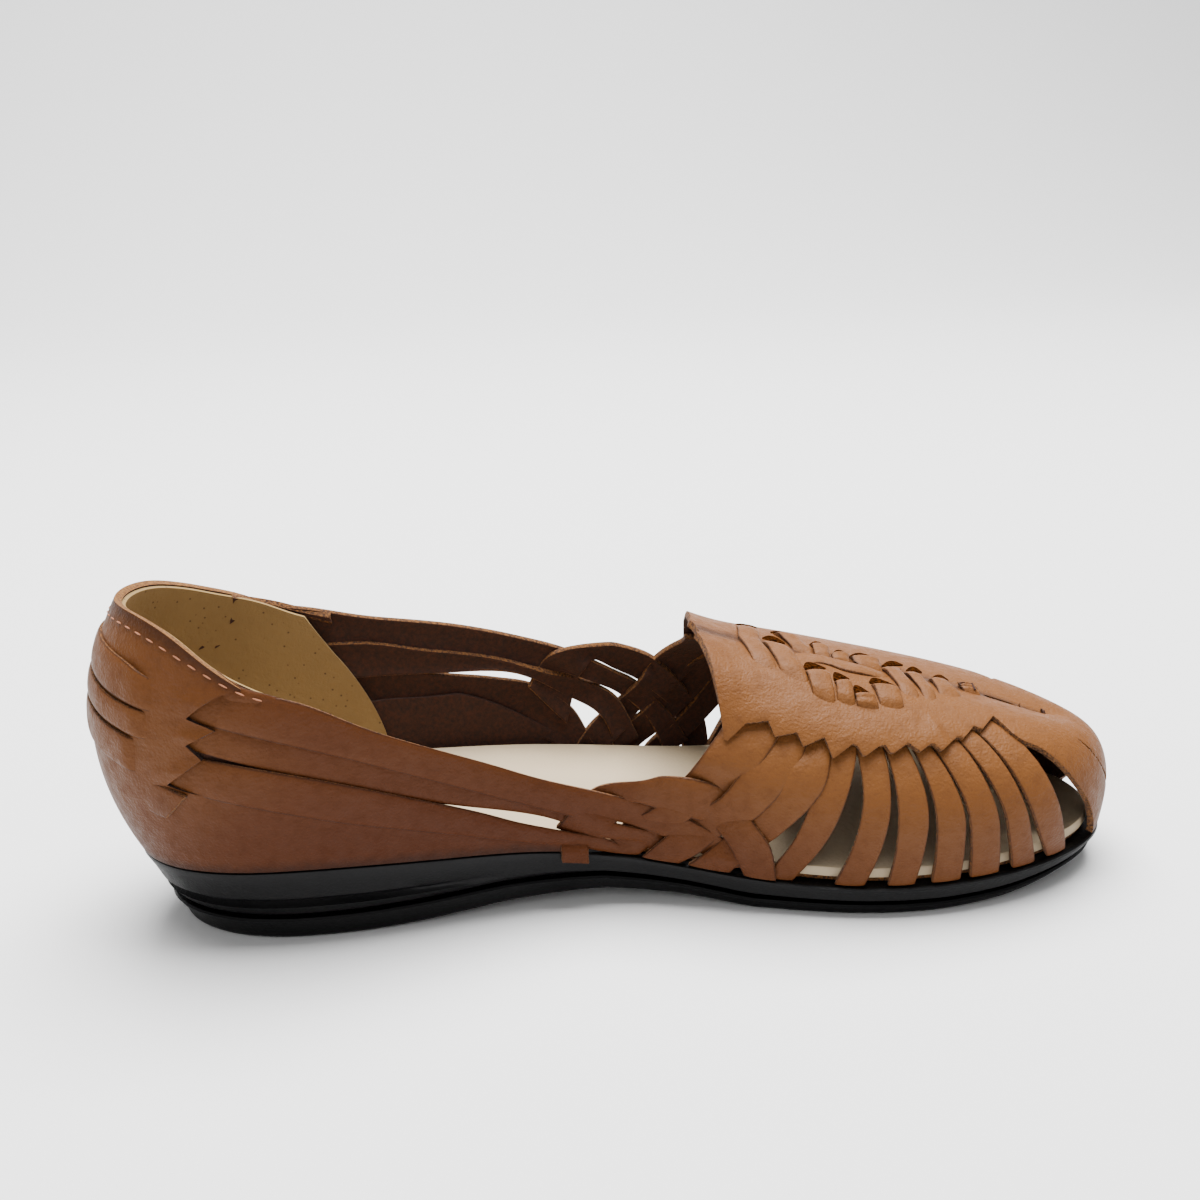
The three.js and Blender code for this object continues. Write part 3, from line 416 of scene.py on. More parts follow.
def slab(name, rings, surface):
    # rings from the middle of the top face, round the edge, to the middle of the bottom face
    def place(along, across):
        angle = 2 * math.pi * along
        level = np.round(across * (len(rings) + 1)).astype(int)
        points = np.zeros((len(along), 3))
        for k, ring in enumerate(rings, 1):
            here = level == k
            points[here] = ring(angle[here])
        for k, ring in ((0, rings[0]), (len(rings) + 1, rings[-1])):
            here = level == k
            edge, far = ring(angle[here]), ring(-angle[here])
            points[here] = (edge + far) / 2
        return points
    piece = grid(name, 240, len(rings) + 1, place, closed=True)
    finish_mesh(piece, [surface], 40)
    return piece


rubber = Surface("moulded_rubber", 0.5, Specular_IOR_Level=0.16)
scuff = rubber.noise(90, 6)
dust = (rubber.noise(12, 5) - 0.25) * scuff
rubber.set("Base Color", rubber.mix(dust.between(0.1, 0.4), colour(2, 2, 3), colour(9, 8, 8)))
rubber.set("Roughness", scuff.between(0.2, 0.9) * 0.25 + 0.36)
rubber.set("Normal", rubber.bump(rubber.noise(1500, 2) + rubber.noise(60, 3), 0.0002, 0.5))

wedge = slab("sole_wedge", [
    *(above_parting(*ring) for ring in WEDGE_TOP),
    *(groove_ring(turn) for turn in np.linspace(0, 1, 6)),
    *(above_parting(*ring) for ring in WEDGE_LOW)], rubber)
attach(wedge, "root")
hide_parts("midsole")

tread = slab("sole_tread", [
    *(above_parting(*ring) for ring in TREAD_TOP),
    *(above_floor(*ring) for ring in TREAD_LOW)], rubber)
bars = []
for first, final in LUG_RUNS:
    middle = (first + final) / 2 * LENGTH
    count = int(((final - first) * LENGTH / LUG_PITCH - 1) / 2)
    for k in range(2 * count + 2):
        x = middle + (k - count - 0.5) * LUG_PITCH
        around = angle_of(x / LENGTH)
        reach = 2 * BALL * min(LUG_HALF, float(last["half"](around)) - LUG_SHORT)
        bpy.ops.object.select_all(action="DESELECT")
        bpy.ops.mesh.primitive_cube_add(
            size=1, location=(x - HEEL_CENTRE * LENGTH, BALL * float(last["middle"](around)), 0),
            scale=(LUG_GROOVE, reach, 2 * LUG_DEPTH))
        bpy.ops.object.transform_apply(location=True, rotation=True, scale=True)
        bars.append(bpy.context.object)
work_on(*bars)
bpy.ops.object.join()
cutter = bpy.context.object
work_on(tread)
cut = tread.modifiers.new("grooves", "BOOLEAN")
cut.object = cutter
cut.solver = "EXACT"
bpy.ops.object.modifier_apply(modifier="grooves")
bpy.data.objects.remove(cutter)
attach(tread, "root")
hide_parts("outsole")

# Footbed. A cream leather insole with a skived edge, cemented over the lasting margin. It shows
# through the throat and between the straps, smooth, with faint darker patches.
INSOLE_EDGE = 0.0026  # how far inside the feather edge it ends
INSOLE_LOW = 0.0013  # height of its underside above the seat
INSOLE_THICK = 0.0026
INSOLE_RINGS = ((0.001, 0), (0.0003, 0.0003), (0, 0.001), (0, INSOLE_THICK))  # further in, further down


def insole_ring(further_in, further_down):
    height = INSOLE_LOW + INSOLE_THICK - further_down
    return lambda angle: inset(angle, -INSOLE_EDGE - further_in) + np.array([0, 0, height])


footbed_leather = Surface("footbed_leather", 0.75)
wear = footbed_leather.noise(14, 5)
footbed_leather.set("Base Color", footbed_leather.mix(wear, colour(190, 172, 144), colour(158, 138, 108)))
footbed_leather.set("Normal", footbed_leather.bump(footbed_leather.cells(900), 0.0002, 0.4))
insole = slab("footbed", [insole_ring(*ring) for ring in INSOLE_RINGS], footbed_leather)
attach(insole, "root")
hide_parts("insole")

# Upper leather. Vegetable-tanned side leather, tan with a pink cast; painted light makes it paler higher
# up, where the light falls, and painted shade makes it deeper brown low down. It is also paler towards
# the toe and a little at the heel; fine pebbled grain, edges left raw and fuzzy.
LEATHER_PALE_AND_LIT = colour(107, 66, 31)
LEATHER_DEEP_AND_SHADED = colour(66, 28, 2)
LEATHER_EDGE = colour(36, 14, 3)
leather = Surface("tan_leather", 0.55, Specular_IOR_Level=0.14)
upward = leather.part_of(leather.place(), "Z")
forward = leather.part_of(leather.place(), "X")
# painted light and shade: paler towards the toe and at the heel, painted lighter higher up where the light
# falls and darker low down as shade; a slow noise adds random tone
toe = forward.between(0.05, 0.15) * (upward.between(0.01, 0.045) * 0.35 + 0.4)
heel = (1 - forward.between(-0.035, 0.02)) * 0.3
painted_light_and_tone = toe + upward.between(0.02, 0.055) * 0.3 + heel + (leather.noise(16, 4) - 0.5) * 0.5
tone_with_painted_light = leather.mix(painted_light_and_tone.between(0.0, 1.0), LEATHER_DEEP_AND_SHADED, LEATHER_PALE_AND_LIT)
mottle = leather.noise(320, 5, 0.6)
tone_with_painted_light = leather.mix(mottle.between(0.45, 0.75) * 0.22, tone_with_painted_light, colour(54, 24, 5))
# a band along each strap's long edges is darkened: partly real burnish, partly painted shade standing for the
# dark lines where straps cross and tuck under one another; the noise only wobbles the band
span = leather.part_of(leather.place("UV"), "Y")
rub = leather.noise(420, 3) * 0.05
rubbed_and_shaded_edges = 1 - (span + rub).between(0.02, 0.1) * (1 - span + rub).between(0.02, 0.1)
leather.set("Base Color", leather.mix(rubbed_and_shaded_edges * 0.75, tone_with_painted_light, LEATHER_EDGE))
leather.set("Roughness", mottle.between(0.2, 0.8) * 0.22 + 0.42)
leather.set("Normal", leather.bump(
    leather.cells(1500, "SMOOTH_F1") * 0.6 + leather.noise(2600, 3) * 0.5, 0.00028, 0.8,
    under=leather.bump(leather.noise(140, 3), 0.0012, 0.5)))

raw_edge = Surface("raw_leather_edge", 0.95)
fuzz = raw_edge.noise(1400, 6, 0.7)
raw_edge.set("Base Color", raw_edge.mix(fuzz.between(0.35, 0.65), colour(40, 17, 4), colour(124, 78, 32)))
raw_edge.set("Normal", raw_edge.bump(fuzz, 0.0006, 1.0))

flesh = Surface("leather_flesh_side", 0.9)
nap = flesh.noise(900, 6, 0.7)
flesh.set("Base Color", flesh.mix(nap.between(0.3, 0.7), colour(34, 12, 1), colour(62, 26, 4)))
flesh.set("Normal", flesh.bump(nap, 0.0004, 0.8))

LEATHER = 0.0016  # thickness of a strap
ROUNDING = 0.0003
FACES = (leather, raw_edge, flesh)  # grain side, cut edge and flesh side
SIDES = (("inner", False), ("outer", True))
INSIDE_HEIGHT = 0.02  # height of the point inside the shoe that every strap faces away from
CROWN, FLAT_CROWN, ROUND_CROWN = 0.0005, 0.0003, 0.0006  # how far a strap's edges drop below its middle
# how much higher the lines of the outer side run, then how much further forward, each by share
OUTER_RISE = (
    (0, 0.03, 0.075, 0.1, 0.13, 0.17, 0.21, 0.26, 0.3, 0.35, 0.4, 0.51, 0.57, 0.62, 0.66),
    (0, -0.014, -0.014, -0.002, 0.006, 0.007, 0.022, 0.05, 0.068, 0.098, 0.12, 0.115, 0.07, 0.02, 0),
)
OUTER_REACH = (
    (0.6, 0.7, 0.8, 0.887, 0.911, 0.935, 0.95, 0.985),
    (0, 0.006, 0.022, 0.046, 0.053, 0.05, 0.03, 0),
)
FULL_RISE = 0.05  # climb from which the rise counts in full
outer_rise = smooth_line(angle_of(OUTER_RISE[0]), OUTER_RISE[1])


def face_towards(piece, way):
    # turns a sheet over if its faces look against the given way
    if (np.array([face.normal[:] for face in piece.data.polygons]) @ way).mean() < 0:
        piece.data.flip_normals()


def add_wall(piece, thick, faces):
    # a sheet grows inwards; its outside, its cut edge and its inside each get their own surface
    work_on(piece)
    for face in faces:
        piece.data.materials.append(face.material)
    wall = piece.modifiers.new("wall", "SOLIDIFY")
    wall.thickness = thick
    wall.offset = -1
    wall.use_rim = True
    wall.material_offset = 2
    wall.material_offset_rim = 1
    bpy.ops.object.modifier_apply(modifier="wall")


def thicken(piece, thick=LEATHER, rounding=ROUNDING, faces=FACES):
    # a sheet becomes leather: grain outside, flesh side inside and raw rounded edges
    add_wall(piece, thick, faces)
    if rounding:
        round_off = piece.modifiers.new("rounding", "BEVEL")
        round_off.width = rounding
        round_off.segments = 2
        round_off.limit_method = "ANGLE"
        round_off.angle_limit = math.radians(60)
        round_off.use_clamp_overlap = True
        bpy.ops.object.modifier_apply(modifier="rounding")
    finish_mesh(piece, [], 45)
    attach(piece, "root")


def raised(angle, climb):
    # the outer side's topline and straps run a little higher than the inner side's
    share = (1 - np.cos(angle)) / 2
    rise = np.where(share < OUTER_RISE[0][-1], outer_rise(np.abs(angle)), 0)
    return climb + np.where(angle < 0, rise * np.minimum(climb / FULL_RISE, 1), 0)


def charted(points, outer=False, quarter=False):
    # share and climb on the inner side become angle and climb on either side
    share, climb = np.array(points, float).T
    if outer:
        if quarter:
            climb = raised(-angle_of(share), climb)
        share = share + np.interp(share, *OUTER_REACH)
        return np.stack([2 * math.pi - angle_of(share), climb], -1)
    return np.stack([angle_of(share), climb], -1)


def run_through(points, along):
    # a smooth curve that passes each point at an even share of its run
    points = np.asarray(points, float)
    spots = np.concatenate([[2 * points[0] - points[1]], points, [2 * points[-1] - points[-2]]])
    place = np.clip(along, 0, 1) * (len(points) - 1)
    k = np.minimum(place.astype(int), len(points) - 2)
    t = (place - k).reshape(-1, *([1] * (points.ndim - 1)))
    a, b, c, d = (spots[k + shift] for shift in range(4))
    return 0.5 * (
        2 * b + (c - a) * t + (2 * a - 5 * b + 4 * c - d) * t ** 2 + (3 * b - a - 3 * c + d) * t ** 3)


def strap(name, first, second, lifts, outer=False, quarter=False, *, columns, rows=8, crown=CROWN,
          thick=LEATHER, faces=FACES, wider=0.0):
    # a strap between two charted edges; lifts, in metres, are held at even shares of its run
    first, second = (charted(edge, outer, quarter) for edge in (first, second))
    first, second = first + (first - second) * wider, second + (second - first) * wider

    def place(along, across):
        a, b = run_through(first, along), run_through(second, along)
        spot = a + (b - a) * across[:, None]
        high = run_through(np.array(lifts, float), along)
        return skin(spot[:, 0], spot[:, 1], high - crown * np.abs(2 * across - 1) ** 3)
    piece = grid(name, columns, rows, place)
    outwards = np.array([face.normal[:] for face in piece.data.polygons])
    spots = np.array([face.center[:] for face in piece.data.polygons])
    inside = np.array([0.5 * (spots[:, 0].min() + spots[:, 0].max()), 0, INSIDE_HEIGHT])
    if ((spots - inside) * outwards).sum() < 0:
        piece.data.flip_normals()
    thicken(piece, thick, faces=faces)


# Vamp straps. Seven flat straps of thicker leather on each side run from slots under the plug's
# edge down to the sole, where they are lasted under the foot; each bows out a little between.
VAMP = (
    # back and front corner at the plug as share and climb, then both edges' shares at waist and foot
    ((0.685, 0.43), (0.717, 0.5), (0.664, 0.695), (0.614, 0.641)),
    ((0.717, 0.45), (0.743, 0.51), (0.71, 0.737), (0.68, 0.71)),
    ((0.747, 0.47), (0.768, 0.52), (0.743, 0.773), (0.732, 0.76)),
    ((0.777, 0.49), (0.793, 0.53), (0.779, 0.808), (0.777, 0.808)),
    ((0.8, 0.5), (0.825, 0.57), (0.811, 0.842), (0.818, 0.851)),
    ((0.83, 0.56), (0.85, 0.625), (0.848, 0.873), (0.866, 0.894)),
    ((0.857, 0.61), (0.884, 0.7), (0.877, 0.911), (0.909, 0.935)),
)
VAMP_LIFTS = (-0.0022, -0.0007, 0.0012, 0.0010, -0.0002)
VAMP_THICK = 0.002
WAIST = 0.3  # climb of the waist
WIDER = 0.002  # how much a strap spreads on each side where it leaves its slot
TUCK = 0.1  # how much climb of a strap is hidden under the plug
SLANT = 0.2  # how far the hidden part runs on along the strap, as a share of plug to waist
BOW = 0.08  # how far a strap bows forward, as a share of waist to foot


def vamp_edge(corner, waist, foot, wider):
    top, climb = corner[0] + wider, corner[1]
    return [(top + (top - waist) * SLANT, climb + TUCK), (top, climb), (waist, WAIST),
            ((waist + foot) / 2 + (waist - foot) * BOW, WAIST / 2), (foot, 0)]


for side, outer in SIDES:
    for number, (back, front, waist, foot) in enumerate(VAMP, 4):
        strap(f"vamp_strap_{side}_{number}",
              vamp_edge(back, waist[0], foot[0], -WIDER), vamp_edge(front, waist[1], foot[1], WIDER),
              VAMP_LIFTS, outer, columns=28, crown=FLAT_CROWN, thick=VAMP_THICK)

# Braid. Seven straps on each side start under the plug or at the heel and cross over and under
# one another beside the arch before they are lasted under the sole.
OVER = 0.0018  # how far a strap that passes over stands off one that passes under
LONG_WIDER, SHORT_WIDER = 0.02, 0.12  # how much the side straps and the others spread at each edge
BRAID = (
    # name, whether it starts at the heel, both edges as share and climb, and lifts in units of OVER
    ("throat_strap_1", False,
     ((0.606, 0.58), (0.598, 0.487), (0.564, 0.325), (0.545, 0.246), (0.512, 0.142), (0.485, 0.083),
      (0.46, 0)),
     ((0.66, 0.63), (0.65, 0.542), (0.609, 0.346), (0.58, 0.246), (0.542, 0.142), (0.518, 0.071),
      (0.49, 0)),
     (-1.2, -0.4, 1, 0, 1, 0, 0)),
    ("throat_strap_2", False,
     ((0.638, 0.56), (0.633, 0.467), (0.605, 0.338), (0.578, 0.225), (0.55, 0.15), (0.523, 0.07), (0.5, 0)),
     ((0.68, 0.59), (0.669, 0.496), (0.642, 0.342), (0.607, 0.205), (0.575, 0.12), (0.55, 0.05), (0.53, 0)),
     (-1.2, -0.4, 1, 1, 0, 1, 0.5)),
    ("throat_strap_3", False,
     ((0.668, 0.54), (0.66, 0.45), (0.645, 0.354), (0.608, 0.188), (0.582, 0.11), (0.56, 0.046),
      (0.545, 0)),
     ((0.7, 0.59), (0.69, 0.496), (0.672, 0.33), (0.628, 0.16), (0.605, 0.09), (0.588, 0.04), (0.578, 0)),
     (-1.2, -0.4, 1, 0.6, 0, 1, 0.5)),
    ("crossing_strap", True,
     ((0.415, 0.045), (0.433, 0.1), (0.455, 0.15), (0.497, 0.2), (0.522, 0.229), (0.557, 0.25),
      (0.583, 0.235), (0.604, 0.175), (0.619, 0.1), (0.623, 0)),
     ((0.45, 0.025), (0.465, 0.065), (0.475, 0.115), (0.49, 0.15), (0.515, 0.153), (0.545, 0.155),
      (0.565, 0.142), (0.582, 0.11), (0.592, 0.054), (0.598, 0)),
     (0, 1, 0, 1, 1, 1, 0, 1, 1, 0.6)),
    ("side_strap_1", True,
     ((0.09, 0.295), (0.115, 0.292), (0.172, 0.275), (0.243, 0.229), (0.34, 0.183), (0.4, 0.158),
      (0.46, 0.15), (0.512, 0.146), (0.543, 0.138), (0.577, 0.096), (0.6, 0.03)),
     ((0.065, 0.256), (0.085, 0.25), (0.14, 0.226), (0.21, 0.192), (0.297, 0.146), (0.37, 0.108),
      (0.43, 0.085), (0.48, 0.083), (0.52, 0.072), (0.552, 0.042), (0.572, 0)),
     (-0.25, 0.2, 1, 1, 1, 1, 1, 0.4, 0.8, 0, 0)),
    ("side_strap_2", True,
     ((0.08, 0.254), (0.1, 0.247), (0.168, 0.218), (0.242, 0.186), (0.297, 0.155), (0.37, 0.115),
      (0.43, 0.09), (0.473, 0.082), (0.515, 0.066), (0.54, 0.02)),
     ((0.06, 0.212), (0.076, 0.211), (0.132, 0.182), (0.208, 0.143), (0.258, 0.118), (0.32, 0.097),
      (0.4, 0.072), (0.455, 0.043), (0.495, 0.033), (0.512, 0)),
     (-0.25, 0, 0.5, 0.5, 0.5, 0.4, 0, 0.8, 0, 0)),
    ("side_strap_3", True,
     ((0.07, 0.2), (0.088, 0.196), (0.132, 0.181), (0.19, 0.156), (0.258, 0.124), (0.327, 0.09),
      (0.375, 0.064), (0.422, 0.048), (0.462, 0.035), (0.485, 0.01)),
     ((0.044, 0.158), (0.058, 0.153), (0.1, 0.133), (0.15, 0.108), (0.21, 0.081), (0.28, 0.056),
      (0.33, 0.038), (0.385, 0.02), (0.43, 0.01), (0.455, 0)),
     (-0.25, 0.2, 1, 1, 1, 0.9, 0.9, 0.9, 0.4, 0)),
)
for side, outer in SIDES:
    for name, quarter, first, second, over in BRAID:
        strap(f"{name}_{side}", first, second, [OVER * share for share in over], outer, quarter,
              columns=8 * (len(first) - 1), wider=LONG_WIDER if name.startswith("side") else SHORT_WIDER)

# Plug and toe. One piece of leather covers the vamp and runs on round the toe: its lower edge is
# cut in saw teeth where the straps leave it, and a band down the toe parts two openings.
PLUG_LIFT, PLUG_THICK, PLUG_ROUNDING = 0.0006, 0.0018, 0.00025
PLUG_COLUMNS, PLUG_ROWS = 300, 88
CREST_HALF = 0.004  # how far from the ridge the crest is smoothed
CREST_CLIMB = 0.999  # a border above this runs along the ridge and isn't an edge
EDGE_LIFT, EDGE_RUN = 0.0008, 0.005  # how far the sawn edge stands up, and over what distance
EDGE_LOW, EDGE_HIGH, EDGE_FADE = 0.38, 0.8, 0.15  # climbs between which it does, and their fading run
TOE_HALF = 0.9  # angle on either side of the toe's tip in which the edge lies flat
THROAT = ((0.595, 1.0), (0.596, 0.858), (0.588, 0.613), (0.586, 0.467), (0.585, 0.396))
THROAT_SLANT = 0.02  # how much further forward the foot of the throat's edge stands on the outer side
PLUG_EDGE = (
    (0.611, 0.49), (0.634, 0.52), (0.637, 0.47), (0.66, 0.5), (0.663, 0.455), (0.686, 0.5), (0.689, 0.43),
    (0.715, 0.5), (0.719, 0.45), (0.743, 0.51), (0.747, 0.47), (0.768, 0.52), (0.777, 0.49), (0.793, 0.53),
    (0.8, 0.5), (0.825, 0.57), (0.83, 0.56), (0.85, 0.625), (0.857, 0.61), (0.884, 0.7),
)
INNER_OPENING = ((0.888, 0.6), (0.895, 0.562), (0.91, 0.525), (0.9235, 0.454), (0.9385, 0.35), (0.955, 0.229),
                 (0.97, 0.067), (0.973, 0.0))
OUTER_OPENING = ((0.9995, 0.0), (0.998, 0.06), (0.99, 0.22), (0.978, 0.39), (0.968, 0.517), (0.962, 0.59),
                 (0.969, 0.53), (0.978, 0.41), (0.994, 0.24), (1.007, 0.08), (1.011, 0.0))
OUTER_TOE = ((1.071, 0.0), (1.07, 0.06), (1.065, 0.22), (1.06, 0.4), (1.062, 0.56), (1.067, 0.72))
EDGE_STEPS = 6  # points from one corner of an opening to the next
SCALE = np.array([0.07, 0.06])  # metres to a unit of angle and of climb, about


def edge_points(points):
    return charted(run_through(points, np.linspace(0, 1, EDGE_STEPS * (len(points) - 1) + 1)))


# the border of the leather, from the throat round the inner side, the toe and the outer side
border = np.vstack([
    charted(THROAT), charted(PLUG_EDGE), edge_points(INNER_OPENING),
    edge_points(OUTER_OPENING[:6]), edge_points(OUTER_OPENING[5:]), edge_points(OUTER_TOE),
    charted(PLUG_EDGE[::-1], True),
    charted([(share + THROAT_SLANT * (1 - climb), climb) for share, climb in THROAT[::-1]], True)])


def inside_border(spots):
    # a line from a spot inside crosses the border an odd number of times
    inside = np.zeros(len(spots), bool)
    x, y = spots.T
    for (ax, ay), (bx, by) in zip(border, np.roll(border, -1, 0)):
        if ay != by:
            crossing = ((ay > y) != (by > y)) & (x < (bx - ax) * (y - ay) / (by - ay) + ax)
            inside ^= crossing
    return inside


def to_border(spots):
    # each spot's distance from the border, and the place on the border next to it
    best = np.full(len(spots), 1e9)
    nearest = spots.copy()
    for a, b in zip(border, np.roll(border, -1, 0)):
        if min(a[1], b[1]) > CREST_CLIMB:
            continue
        run = (b - a) * SCALE
        share = np.clip(((spots - a) * SCALE) @ run / max(run @ run, 1e-12), 0, 1)
        point = a + share[:, None] * (b - a)
        gap = np.linalg.norm((point - spots) * SCALE, axis=1)
        closer = gap < best
        best[closer] = gap[closer]
        nearest[closer] = point[closer]
    return best, nearest


# the sheet is laid over the vamp, trimmed to the border, and its rim moved onto the border
LOW, HIGH = angle_of(THROAT[-1][0]), 2 * math.pi - angle_of(THROAT[-1][0])
bpy.ops.object.select_all(action="DESELECT")
bpy.ops.mesh.primitive_grid_add(x_subdivisions=PLUG_COLUMNS, y_subdivisions=PLUG_ROWS, size=2, calc_uvs=True)
plug = bpy.context.object
plug.name = "plug_and_toe"
mesh = plug.data
corners = np.empty(3 * len(mesh.vertices))
mesh.vertices.foreach_get("co", corners)
corners = corners.reshape(-1, 3)
spots = np.stack([LOW + (HIGH - LOW) * (corners[:, 0] + 1) / 2, (corners[:, 1] + 1) / 2], -1)
held = np.array([face.vertices[:] for face in mesh.polygons])
kept = inside_border(spots[held].mean(1))
bpy.ops.object.mode_set(mode="EDIT")
bpy.ops.mesh.select_mode(type="FACE")
bpy.ops.mesh.select_all(action="DESELECT")
bpy.ops.object.mode_set(mode="OBJECT")
mesh.polygons.foreach_set("select", ~kept)
used = np.zeros(len(spots), bool)
used[held[kept].ravel()] = True
dropped = np.zeros(len(spots), bool)
dropped[held[~kept].ravel()] = True
rim = used & (dropped | (np.abs(corners[:, 0]) > 0.9999) | (corners[:, 1] < -0.9999))
spots[rim] = to_border(spots)[1][rim]
# the sawn edge stands up a little where the straps come out from under it
raise_edge = np.clip((EDGE_HIGH - spots[:, 1]) / EDGE_FADE, 0, 1) * (spots[:, 1] > EDGE_LOW)
raise_edge = raise_edge * (np.abs(spots[:, 0] - math.pi) > TOE_HALF)
raise_edge = raise_edge * EDGE_LIFT * np.exp(-(to_border(spots)[0] / EDGE_RUN) ** 2)
mesh.vertices.foreach_set("co", skin(spots[:, 0], spots[:, 1], PLUG_LIFT + raise_edge).ravel())
bpy.ops.object.mode_set(mode="EDIT")
bpy.ops.mesh.delete(type="FACE")
bpy.ops.mesh.select_all(action="SELECT")
bpy.ops.mesh.remove_doubles(threshold=2e-4)
bpy.ops.mesh.normals_make_consistent(inside=False)
bpy.ops.mesh.select_mode(type="VERT")
bpy.ops.mesh.select_all(action="DESELECT")
bpy.ops.object.mode_set(mode="OBJECT")
# the leather rounds over the ridge
centre = np.linspace(0, 1, 200)
centre = skin(angle_of(RIDGE_START + centre * (1 - RIDGE_START)), 1 + 0 * centre, PLUG_LIFT + 0 * centre)
for vertex in mesh.vertices:
    vertex.select = bool(np.min(np.linalg.norm(centre - np.array(vertex.co[:]), axis=1)) < CREST_HALF)
bpy.ops.object.mode_set(mode="EDIT")
bpy.ops.mesh.vertices_smooth(factor=0.5, repeat=24)
bpy.ops.object.mode_set(mode="OBJECT")
face_towards(plug, (0, 0, 1))
thicken(plug, PLUG_THICK, PLUG_ROUNDING)

# Counter. The heel is wrapped in one piece of leather, cut in points in front where the side
# straps come out from under it, with a band of its own along the topline.
TOPLINE = ((0.0, 0.375), (0.015, 0.378), (0.04, 0.371), (0.07, 0.35), (0.097, 0.321), (0.122, 0.296))
BAND = (((0.1, 0.318), (0.122, 0.299), (0.145, 0.288), (0.17, 0.276), (0.2, 0.258)),
        ((0.095, 0.275), (0.115, 0.278), (0.14, 0.272), (0.165, 0.262), (0.2, 0.24)))
BAND_LIFTS = (-0.0006, 0.0008, 0.0011, 0.0011, 0.0004)
FLAP = (((0.03, 0.165), (0.052, 0.158), (0.07, 0.1465)), ((0.03, 0.112), (0.04, 0.109), (0.0517, 0.108)))
FLAP_LIFTS = (0.0006, 0.0014, 0.0026)
COUNTER_EDGE = ((0.44, 0.0), (0.44, 0.016), (0.38, 0.035), (0.3, 0.06), (0.23, 0.082), (0.165, 0.108),
                (0.115, 0.133), (0.078, 0.145), (0.07, 0.149), (0.055, 0.159), (0.085, 0.2), (0.0733, 0.221),
                (0.098, 0.242), (0.075, 0.258), (0.105, 0.289), (0.122, 0.294))
TOOTH_LIFT = ((0.147, 0.16, 0.18, 0.205, 0.22, 0.23, 0.245, 0.256, 0.272, 0.289, 0.294),
              (0.0, 0.0, 1.0, 0.2, 0.1, 1.0, 0.1, 0.1, 1.0, 0.5, 0.0))
TOOTH_REACH, TOOTH_PROUD = 0.06, 0.0011
COUNTER_LIFT, COUNTER_THICK, COUNTER_COLUMNS, COUNTER_ROWS = 0.0009, 0.002, 160, 148
MIDDLE_HEIGHT = 0.33  # rows low on the counter run level, those near the top follow the topline
SETTLE = 12  # rounds in which the rows at the edge's corners settle


def climb_by_angle(points):
    share, climb = zip(*points)
    return smooth_line(angle_of(share), climb)


topline = climb_by_angle(TOPLINE)


def row_height(angle, row):
    top = topline(np.minimum(np.abs(angle), angle_of(TOPLINE[-1][0])))
    return MIDDLE_HEIGHT + (top - MIDDLE_HEIGHT) * row ** 2


edge_angle, edge_climb = charted(COUNTER_EDGE).T
edge_row = edge_climb / MIDDLE_HEIGHT
for _ in range(SETTLE):
    edge_row = np.minimum(edge_climb / row_height(edge_angle, edge_row), 1)


def counter_place(along, across):
    turn = 2 * along - 1
    reach = np.interp(across, edge_row, edge_angle)
    angle = turn * reach
    teeth = np.exp(-((1 - np.abs(turn)) * reach / TOOTH_REACH) ** 2)
    teeth = teeth * np.interp(across, np.interp(TOOTH_LIFT[0], edge_climb, edge_row), TOOTH_LIFT[1])
    climb = raised(angle, across * row_height(angle, across))
    return skin(angle, climb, COUNTER_LIFT + TOOTH_PROUD * teeth)


counter = grid("heel_counter", COUNTER_COLUMNS, COUNTER_ROWS, counter_place)
face_towards(counter, (-1, 0, 0))
golden_edge = Surface("golden_leather_edge", 0.95)
fuzz = golden_edge.noise(1500, 6, 0.7)
golden = golden_edge.mix(fuzz.between(0.35, 0.65), colour(78, 42, 10), colour(138, 92, 38))
# the cut edge is golden only along the topline, where it faces up into the light; lower down, along the
# points, it is painted dark as shade
lit_top_edge = golden_edge.part_of(golden_edge.place("UV"), "Y").between(0.93, 0.96)
golden_edge.set("Base Color", golden_edge.mix(lit_top_edge, colour(46, 20, 5), golden))
golden_edge.set("Normal", golden_edge.bump(fuzz, 0.0005, 1.0))
thicken(counter, COUNTER_THICK, PLUG_ROUNDING, (leather, golden_edge, flesh))
for side, outer in SIDES:
    strap(f"topline_band_{side}", *BAND, BAND_LIFTS, outer, True, columns=30)
    strap(f"counter_flap_{side}", *FLAP, FLAP_LIFTS, outer, True, columns=16, crown=FLAT_CROWN)

# Tab. A short loop of thin strap leather comes out between the upper and the sole beside the arch
# and hangs over the sole's edge; it is lasted in together with the straps.
TAB_SHARES = (0.415, 0.443)
TAB_DROP, TAB_HEIGHT, TAB_LIFT, TAB_THICK = 0.0028, 0.006, 0.0019, 0.0013


def tab_place(along, across):
    angle = angle_of(TAB_SHARES[0] + (TAB_SHARES[1] - TAB_SHARES[0]) * along)
    return inset(angle, TAB_LIFT * (1 - across ** 3)) + np.outer(TAB_HEIGHT * across - TAB_DROP, (0, 0, 1))


tab = grid("tab_loop", 8, 8, tab_place)
face_towards(tab, (0, -1, 0))
thicken(tab, TAB_THICK)

